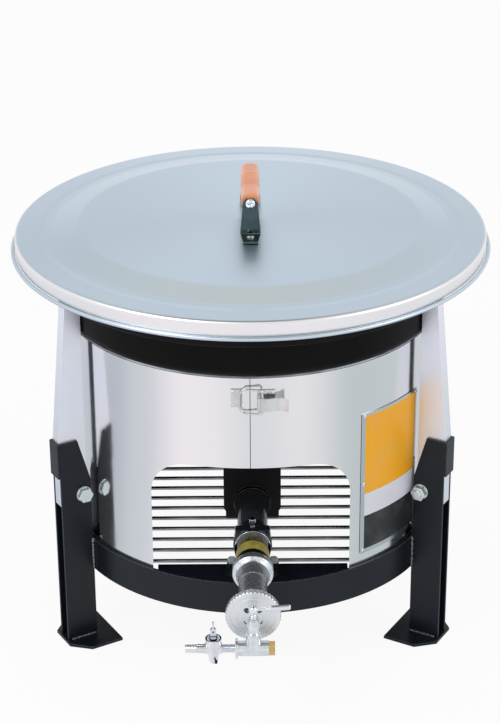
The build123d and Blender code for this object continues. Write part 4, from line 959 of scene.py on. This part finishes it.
@dataclass
class Cocks(SubAssembly):
    """Main cock, hose cock and what joins them."""

    thread_pitch: float = 0.0014
    thread_depth: float = 0.0006
    inlet_radius: float = 0.005

    def build_threaded_nipple(self) -> None:
        """Turn the inlet nipple with its thread."""
        low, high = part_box("inlet_nipple")
        length = high.x - low.x
        turns = int(length / self.thread_pitch)
        outline = [(self.inlet_radius * 0.52, 0.0)]
        for index in range(turns):
            base = index * length / turns
            outline.append((self.inlet_radius - self.thread_depth, base))
            outline.append((self.inlet_radius, base + 0.5 * length / turns))
        outline += [(self.inlet_radius - self.thread_depth, length), (self.inlet_radius * 0.52, length)]
        bm = Shape.turned(outline, {}, 40, closed=True)
        place = Matrix.Translation((low.x, COCK_Y, COCK_HEIGHT)) @ Matrix.Rotation(math.pi / 2, 4, "Y")
        piece = Shape.finish_mesh(Shape.move(bm, place), "inlet_thread", 25.0)
        self.seat(piece, Body.STOVE, "nickel", self.palette.material(NICKEL, Lathe.CROSS), ["inlet_nipple"])

    def build(self) -> None:
        """Dress and build both cocks."""
        self.soften(["main_cock_body"], 0.0004, COCK_METAL, lathe=Lathe.CROSS)
        self.soften(["main_cock_spindle", "main_cock_lever"], 0.0003, CHROME, Body.MAIN_COCK, Lathe.MAIN_COCK)
        self.soften(["brass_plug"], 0.0006, BRASS, lathe=Lathe.CROSS)
        self.soften(["inlet_flange"], 0.0004, NICKEL, lathe=Lathe.CROSS)
        self.build_threaded_nipple()
        self.soften(["hose_cock_body"], 0.0004, NICKEL, lathe=Lathe.HOSE_COCK)
        self.soften(["hose_cock_spindle"], 0.0003, NICKEL, Body.HOSE_COCK, Lathe.HOSE_COCK)
        self.dress(["hose_cock_screw"], BLACK_IRON)
        self.soften(["hose_barb"], 0.0002, NICKEL, lathe=Lathe.CROSS)


@dataclass
class CookingPot(SubAssembly):
    """The flared pot."""

    def build(self) -> None:
        """Dress the pot."""
        self.dress(["pot"], POT_IRON)


@dataclass
class Lid(SubAssembly):
    """Spun lid with its bracket handle."""

    wall: float = 0.0012
    rim_radius: float = 0.2917
    edge_width: float = 0.003
    edge_rise: float = 0.0006
    band_rise: float = 0.0016
    groove_radius: float = 0.256
    groove_half: float = 0.0062
    groove_depth: float = 0.0007
    bevel_radius: float = 0.247
    disc_radius: float = 0.212
    disc_rise: float = 0.0095
    crown: float = 0.0015
    bead_radius: float = 0.0025
    bead_inset: float = 0.0003
    steep: float = 0.75
    steps: int = 256
    grip_crown: float = 0.0078
    grip_corner: float = 0.0018
    grooves: int = 5
    groove_pitch: float = 0.0082
    groove_width: float = 0.0038
    groove_profile: tuple[tuple[float, float], ...] = (
        (-0.5, 1.0), (-0.36, 0.975), (-0.15, 0.94), (0.15, 0.94), (0.36, 0.975), (0.5, 1.0))

    def build_sheet(self) -> None:
        """Spin the lid's sheet and roll its edge."""
        low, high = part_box("lid")
        rim = high.z - self.disc_rise - self.crown
        band = rim + self.band_rise
        bead_height = low.z + self.bead_radius
        outline = [
            (0.0, rim + self.disc_rise + self.crown),
            (self.disc_radius, rim + self.disc_rise),
            (self.bevel_radius, band),
            (self.groove_radius - self.groove_half, band),
            (self.groove_radius, band - self.groove_depth),
            (self.groove_radius + self.groove_half, band - 0.0001),
            (self.rim_radius - self.edge_width, rim + self.edge_rise),
            (self.rim_radius, rim - 0.0024),
            (self.rim_radius, bead_height + 0.0018),
        ]
        rounded = {1: 0.0025, 2: 0.005, 3: 0.0028, 4: 0.0028, 5: 0.0028, 6: 0.0018, 7: 0.0018}
        bm = Shape.turned(outline, rounded, self.steps)
        bmesh.ops.reverse_faces(bm, faces=[f for f in bm.faces if f.normal.z < -0.01])
        # Steep faces near the rim get the lighter tint, a painted reflection of the pale floor.
        layer = bm.faces.layers.float.new(PAINTED_SKIRT_REFLECTION)
        for face in bm.faces:
            outer = face.calc_center_median().xy.length > self.rim_radius - self.edge_width
            face[layer] = 1.0 if outer and abs(face.normal.z) < self.steep else 0.0
        bmesh.ops.solidify(bm, geom=bm.faces, thickness=self.wall)
        bead = bmesh.new()
        circle = bmesh.ops.create_circle(bead, segments=14, radius=self.bead_radius)
        stand = Matrix.Translation((self.rim_radius + self.bead_inset + self.bead_radius, 0.0, bead_height))
        bmesh.ops.transform(bead, matrix=stand @ Matrix.Rotation(math.pi / 2, 4, "X"), verts=circle["verts"])
        bmesh.ops.spin(bead, geom=bead.verts[:] + bead.edges[:], cent=(0, 0, 0), axis=(0, 0, 1),
                       angle=FULL_TURN, steps=self.steps, use_merge=True, use_duplicate=False)
        bmesh.ops.recalc_face_normals(bead, faces=bead.faces)
        rolled = bpy.data.meshes.new("rolled_edge")
        bead.to_mesh(rolled)
        bead.free()
        bm.from_mesh(rolled)
        bpy.data.meshes.remove(rolled)
        Shape.move(bm, Matrix.Translation((0.0, STOVE_AXIS_Y, 0.0)))
        sheet = Shape.finish_mesh(bm, "lid_sheet", 50.0)
        self.seat(sheet, Body.LID, "lid_aluminium", self.palette.material(LID_METAL), ["lid"])

    def build_grip(self) -> None:
        """Draw the grip out along its length, with round ends and finger grooves across its top."""
        low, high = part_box("handle_grip")
        width, height, length = high.x - low.x, high.z - low.z, high.y - low.y
        bm = bmesh.new()
        stand = Matrix.Translation((0.0, low.y, low.z + height / 2)) @ Matrix.Rotation(math.pi / 2, 4, "X")
        bmesh.ops.create_grid(bm, x_segments=1, y_segments=1, size=0.5,
                              matrix=stand @ Matrix.Diagonal((width, height, 1.0, 1.0)))
        middle = low.z + height / 2
        upper = [v for v in bm.verts if v.co.z > middle]
        lower = [v for v in bm.verts if v.co.z < middle]
        for corners, radius, steps in ((upper, self.grip_crown, 9), (lower, self.grip_corner, 3)):
            bmesh.ops.bevel(bm, geom=corners, offset=radius, offset_type="OFFSET", segments=steps,
                            profile=0.5, affect="VERTICES", clamp_overlap=True, material=-1)
        ends = [(0.0, 0.84), (0.0006, 0.91), (0.0018, 0.96), (0.0038, 0.99), (0.006, 1.0)]
        stations = ends[:]
        first = length / 2 - (self.grooves - 1) / 2 * self.groove_pitch
        for index in range(self.grooves):
            centre = first + index * self.groove_pitch
            for part, size in self.groove_profile:
                stations.append((centre + part * self.groove_width, size))
        stations += [(length - along, size) for along, size in reversed(ends)]
        pivot = Vector((0.0, 0.0, low.z + 0.3 * height))
        cap, before = bm.faces[:], 1.0
        for index, (along, size) in enumerate(stations):
            if index:
                moved = bmesh.ops.extrude_face_region(bm, geom=cap)["geom"]
                fresh = {v for v in moved if isinstance(v, bmesh.types.BMVert)}
                cap = [f for f in bm.faces if all(v in fresh for v in f.verts)]
            else:
                fresh = set(bm.verts)
            for vert in fresh:
                vert.co.x = pivot.x + (vert.co.x - pivot.x) * size / before
                vert.co.z = pivot.z + (vert.co.z - pivot.z) * size / before
                vert.co.y = low.y + along
            before = size
        bmesh.ops.recalc_face_normals(bm, faces=bm.faces)
        grip = Shape.finish_mesh(bm, "grip_moulded", 50.0)
        self.seat(grip, Body.LID, "grip", self.palette.material(GRIP_RESIN), ["handle_grip"])

    def build_screws(self) -> None:
        """Make the two pan head screws with their cross recesses."""
        low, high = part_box("handle_screws")
        middle = (low.z + high.z) / 2
        radius = (high.z - low.z) / 2
        head = 0.0036
        for side, word in ((-1, "front"), (1, "rear")):
            outline = [(0.0, -0.004), (radius * 0.42, -0.004), (radius * 0.42, 0.0), (radius, 0.0),
                       (radius, head * 0.5), (radius * 0.72, head), (0.0, head)]
            bm = Shape.turned(outline, {5: 0.0012, 4: 0.0008}, 32)
            face = low.y + head if side < 0 else high.y - head
            place = Matrix.Translation((0.0, face, middle)) @ Matrix.Rotation(-side * math.pi / 2, 4, "X")
            screw = Shape.finish_mesh(Shape.move(bm, place), f"handle_screw_{word}", 30.0)
            tools = []
            for turn in (0.0, math.pi / 2):
                slot = bmesh.new()
                size = Matrix.Diagonal((radius * 1.15, 0.0011, 0.0036, 1.0))
                lift = Matrix.Translation((0.0, 0.0, head))
                turned = lift @ Matrix.Rotation(turn + 0.4, 4, "Z") @ size
                bmesh.ops.create_cube(slot, size=1.0, matrix=turned)
                tools.append(Shape.finish_mesh(Shape.move(slot, place), f"cross_tool_{turn:.0f}"))
            Shape.cut(screw, tools)
            self.seat(screw, Body.LID, "nickel", self.palette.material(CHROME), ["handle_screws"])

    def build(self) -> None:
        """Dress and build the lid and its handle."""
        self.build_sheet()
        self.soften(["handle_strap"], 0.0006, STRAP_STEEL, Body.LID)
        self.build_grip()
        self.build_screws()
        self.dress(["handle_rivets"], SMALL_STAINLESS)


@dataclass
class Studio:
    """Pale floor, soft light and the camera at the photograph's angle."""

    camera_place: Point = (-0.0017, -2.4317, 1.5005)
    camera_target: Point = (-0.0017, 0.041, 0.3259)
    camera_roll: float = math.radians(-0.406)
    focal_pixels: float = 2142.68
    picture_height: int = 724
    sensor: float = 36.0
    floor_size: float = 9.0
    camera_share: float = 0.92
    mirror_share: float = 0.86
    dim_from: float = 1.12
    dim_to: float = 1.36
    sky_strength: float = 0.66
    # Tones by azimuth that metal sees in the floor: painted pools of lamp light and painted darker sides.
    painted_reflection_tones: tuple[tuple[float, Colour], ...] = (
        (-2.3, (0.64, 0.67, 0.74)),
        (-1.5, (0.49, 0.53, 0.60)),
        (-1.15, (0.64, 0.67, 0.73)),
        (-0.65, (1.0, 0.94, 1.0)),
        (-0.45, (0.98, 0.925, 0.98)),
        (0.05, (0.78, 0.80, 0.84)),
        (0.45, (0.88, 0.87, 0.91)),
        (1.1, (0.54, 0.61, 0.63)),
        (2.1, (0.64, 0.68, 0.71)),
    )

    def seen(self, wires: Wiring) -> bpy.types.NodeSocket:
        """Whether a ray is a camera, glossy or transmission ray, from 0 to 1."""
        path = wires.add("LightPath")
        either = wires.math("MAXIMUM", path.outputs["Is Camera Ray"], path.outputs["Is Glossy Ray"])
        return wires.math("MAXIMUM", either, path.outputs["Is Transmission Ray"])

    def shade(self, wires: Wiring, x: object, y: object, near: object) -> bpy.types.NodeSocket:
        """Painted reflection that the floor shows metal: near the stove it follows painted tones round the
        stove, with painted lamp pools and painted shade.

        Args:
            wires: The wiring to add to.
            x: Place or direction to the right.
            y: Place or direction to the rear.
            near: How near the stove, from 0 to 1.

        Returns:
            The colour.
        """
        azimuth = wires.math("ARCTAN2", x, wires.math("MULTIPLY", y, -1.0))
        ramp = wires.add("ValToRGB", Fac=wires.math("ADD", wires.math("DIVIDE", azimuth, FULL_TURN), 0.5))
        ramp.color_ramp.interpolation = "EASE"
        stops = ramp.color_ramp.elements
        while len(stops) < len(self.painted_reflection_tones):
            stops.new(0.5)
        for stop, (turn, tone) in zip(stops, self.painted_reflection_tones):
            stop.position = turn / FULL_TURN + 0.5
            stop.color = (*tone, 1.0)
        return wires.blend(near, (0.95, 0.945, 0.955), ramp.outputs["Color"])

    def build_floor(self) -> None:
        """Lay a pale floor that keeps the stove's shadow, and that glows a painted reflection for glossy rays.
        """
        bm = bmesh.new()
        bmesh.ops.create_grid(bm, x_segments=2, y_segments=2, size=self.floor_size)
        floor = Shape.finish_mesh(bm, "floor")
        material = bpy.data.materials.new("pale_floor")
        material.use_nodes = True
        wires = Wiring(material.node_tree)
        wires.tree.nodes.clear()
        dull = wires.add("BsdfDiffuse", Color=(0.9, 0.9, 0.9, 1.0))
        path = wires.add("LightPath")
        mirrored = wires.math("MAXIMUM", path.outputs["Is Glossy Ray"], path.outputs["Is Transmission Ray"])
        x, y, _ = wires.add("SeparateXYZ", Vector=wires.add("TexCoord").outputs["Object"]).outputs
        squares = wires.math("MULTIPLY", x, x), wires.math("MULTIPLY", y, y)
        away = wires.math("SQRT", wires.math("ADD", *squares))
        near = wires.span(away, self.dim_from, self.dim_to, 1.0, 0.0)
        glow = wires.add("Emission", Color=(1.0, 1.0, 1.0, 1.0), Strength=1.0)
        # Glossy rays see a painted reflection: lamp pools and shade painted round the stove.
        painted_reflection_glow = wires.add("Emission", Color=self.shade(wires, x, y, near), Strength=1.0)
        plain = wires.math("MULTIPLY", path.outputs["Is Camera Ray"], self.camera_share)
        lit = wires.add("MixShader", i0=plain, i1=dull.outputs[0], i2=glow.outputs[0])
        share = wires.math("MULTIPLY", mirrored, self.mirror_share)
        mixed = wires.add("MixShader", i0=share, i1=lit.outputs[0], i2=painted_reflection_glow.outputs[0])
        wires.add("OutputMaterial", Surface=mixed.outputs[0])
        floor.data.materials.append(material)

    def build_world(self) -> None:
        """Light the scene evenly, and show metal a plain room that darkens to the sides and overhead."""
        world = bpy.data.worlds.new("studio")
        bpy.context.scene.world = world
        world.use_nodes = True
        wires = Wiring(world.node_tree)
        wires.tree.nodes.clear()
        aim = wires.add("SeparateXYZ", Vector=wires.add("TexCoord").outputs["Generated"])
        z = aim.outputs[2]
        room = wires.blend(wires.span(z, 0.1, 0.45, 0.0, 1.0), (0.95, 0.945, 0.955), (0.73, 0.775, 0.82))
        room = wires.blend(wires.span(z, 0.5, 0.75, 0.0, 1.0), room, (0.78, 0.76, 0.69))
        room = wires.blend(wires.span(z, 0.87, 0.98, 0.0, 1.0), room, (0.24, 0.26, 0.28))
        room = wires.blend(wires.add("LightPath").outputs["Is Camera Ray"], room, (1.0, 1.0, 1.0))
        soft = wires.add("Background", Color=(1.0, 1.0, 1.0, 1.0), Strength=self.sky_strength)
        shown = wires.add("Background", Color=room, Strength=1.0)
        mixed = wires.add("MixShader", i0=self.seen(wires), i1=soft.outputs[0], i2=shown.outputs[0])
        wires.add("OutputWorld", Surface=mixed.outputs[0])

    def build_lamp(self, name: str, place: Point, size: float, power: float) -> None:
        """Hang a soft lamp aimed at the stove.

        Args:
            name: The lamp's name.
            place: Where it hangs.
            size: The side of its square face.
            power: Its power in watts.
        """
        lamp = bpy.data.lights.new(name, "AREA")
        lamp.shape = "SQUARE"
        lamp.size = size
        lamp.energy = power
        piece = bpy.data.objects.new(name, lamp)
        aim = Vector(self.camera_target) - Vector(place)
        piece.matrix_world = Matrix.Translation(place) @ aim.to_track_quat("-Z", "Y").to_matrix().to_4x4()
        bpy.context.scene.collection.objects.link(piece)

    def build_camera(self) -> None:
        """Set the camera where the photograph was taken from."""
        data = bpy.data.cameras.new("photo_view")
        data.sensor_fit = "VERTICAL"
        data.sensor_height = self.sensor
        data.lens = self.focal_pixels * self.sensor / self.picture_height
        data.clip_end = 50.0
        ahead = (Vector(self.camera_target) - Vector(self.camera_place)).normalized()
        right = ahead.cross(Vector((0, 0, 1))).normalized()
        up = right.cross(ahead)
        turned_right = math.cos(self.camera_roll) * right + math.sin(self.camera_roll) * up
        turned_up = -math.sin(self.camera_roll) * right + math.cos(self.camera_roll) * up
        turn = Matrix((turned_right, turned_up, -ahead)).transposed().to_4x4()
        camera = bpy.data.objects.new("photo_view", data)
        camera.matrix_world = Matrix.Translation(self.camera_place) @ turn
        bpy.context.scene.collection.objects.link(camera)
        bpy.context.scene.camera = camera

    def build(self) -> None:
        """Set up the whole studio."""
        self.build_camera()
        self.build_floor()
        self.build_world()
        self.build_lamp("key_lamp", (-1.6, -1.5, 2.3), 1.2, 22.0)
        self.build_lamp("fill_lamp", (2.1, -1.0, 1.5), 1.2, 9.0)
        bpy.context.scene.view_settings.view_transform = "Standard"


def main() -> None:
    """Build the studio and every sub-assembly in order."""
    logging.basicConfig(level=logging.INFO, format="%(message)s")
    Studio().build()
    palette = Palette()
    kinds = (Stand, FireFloor, Windshield, Burner, BurnerLine, Cocks, CookingPot, Lid)
    for kind in kinds:
        assembly = kind(palette)
        assembly.build()
        assembly.report()


if __name__ == "__main__":
    main()
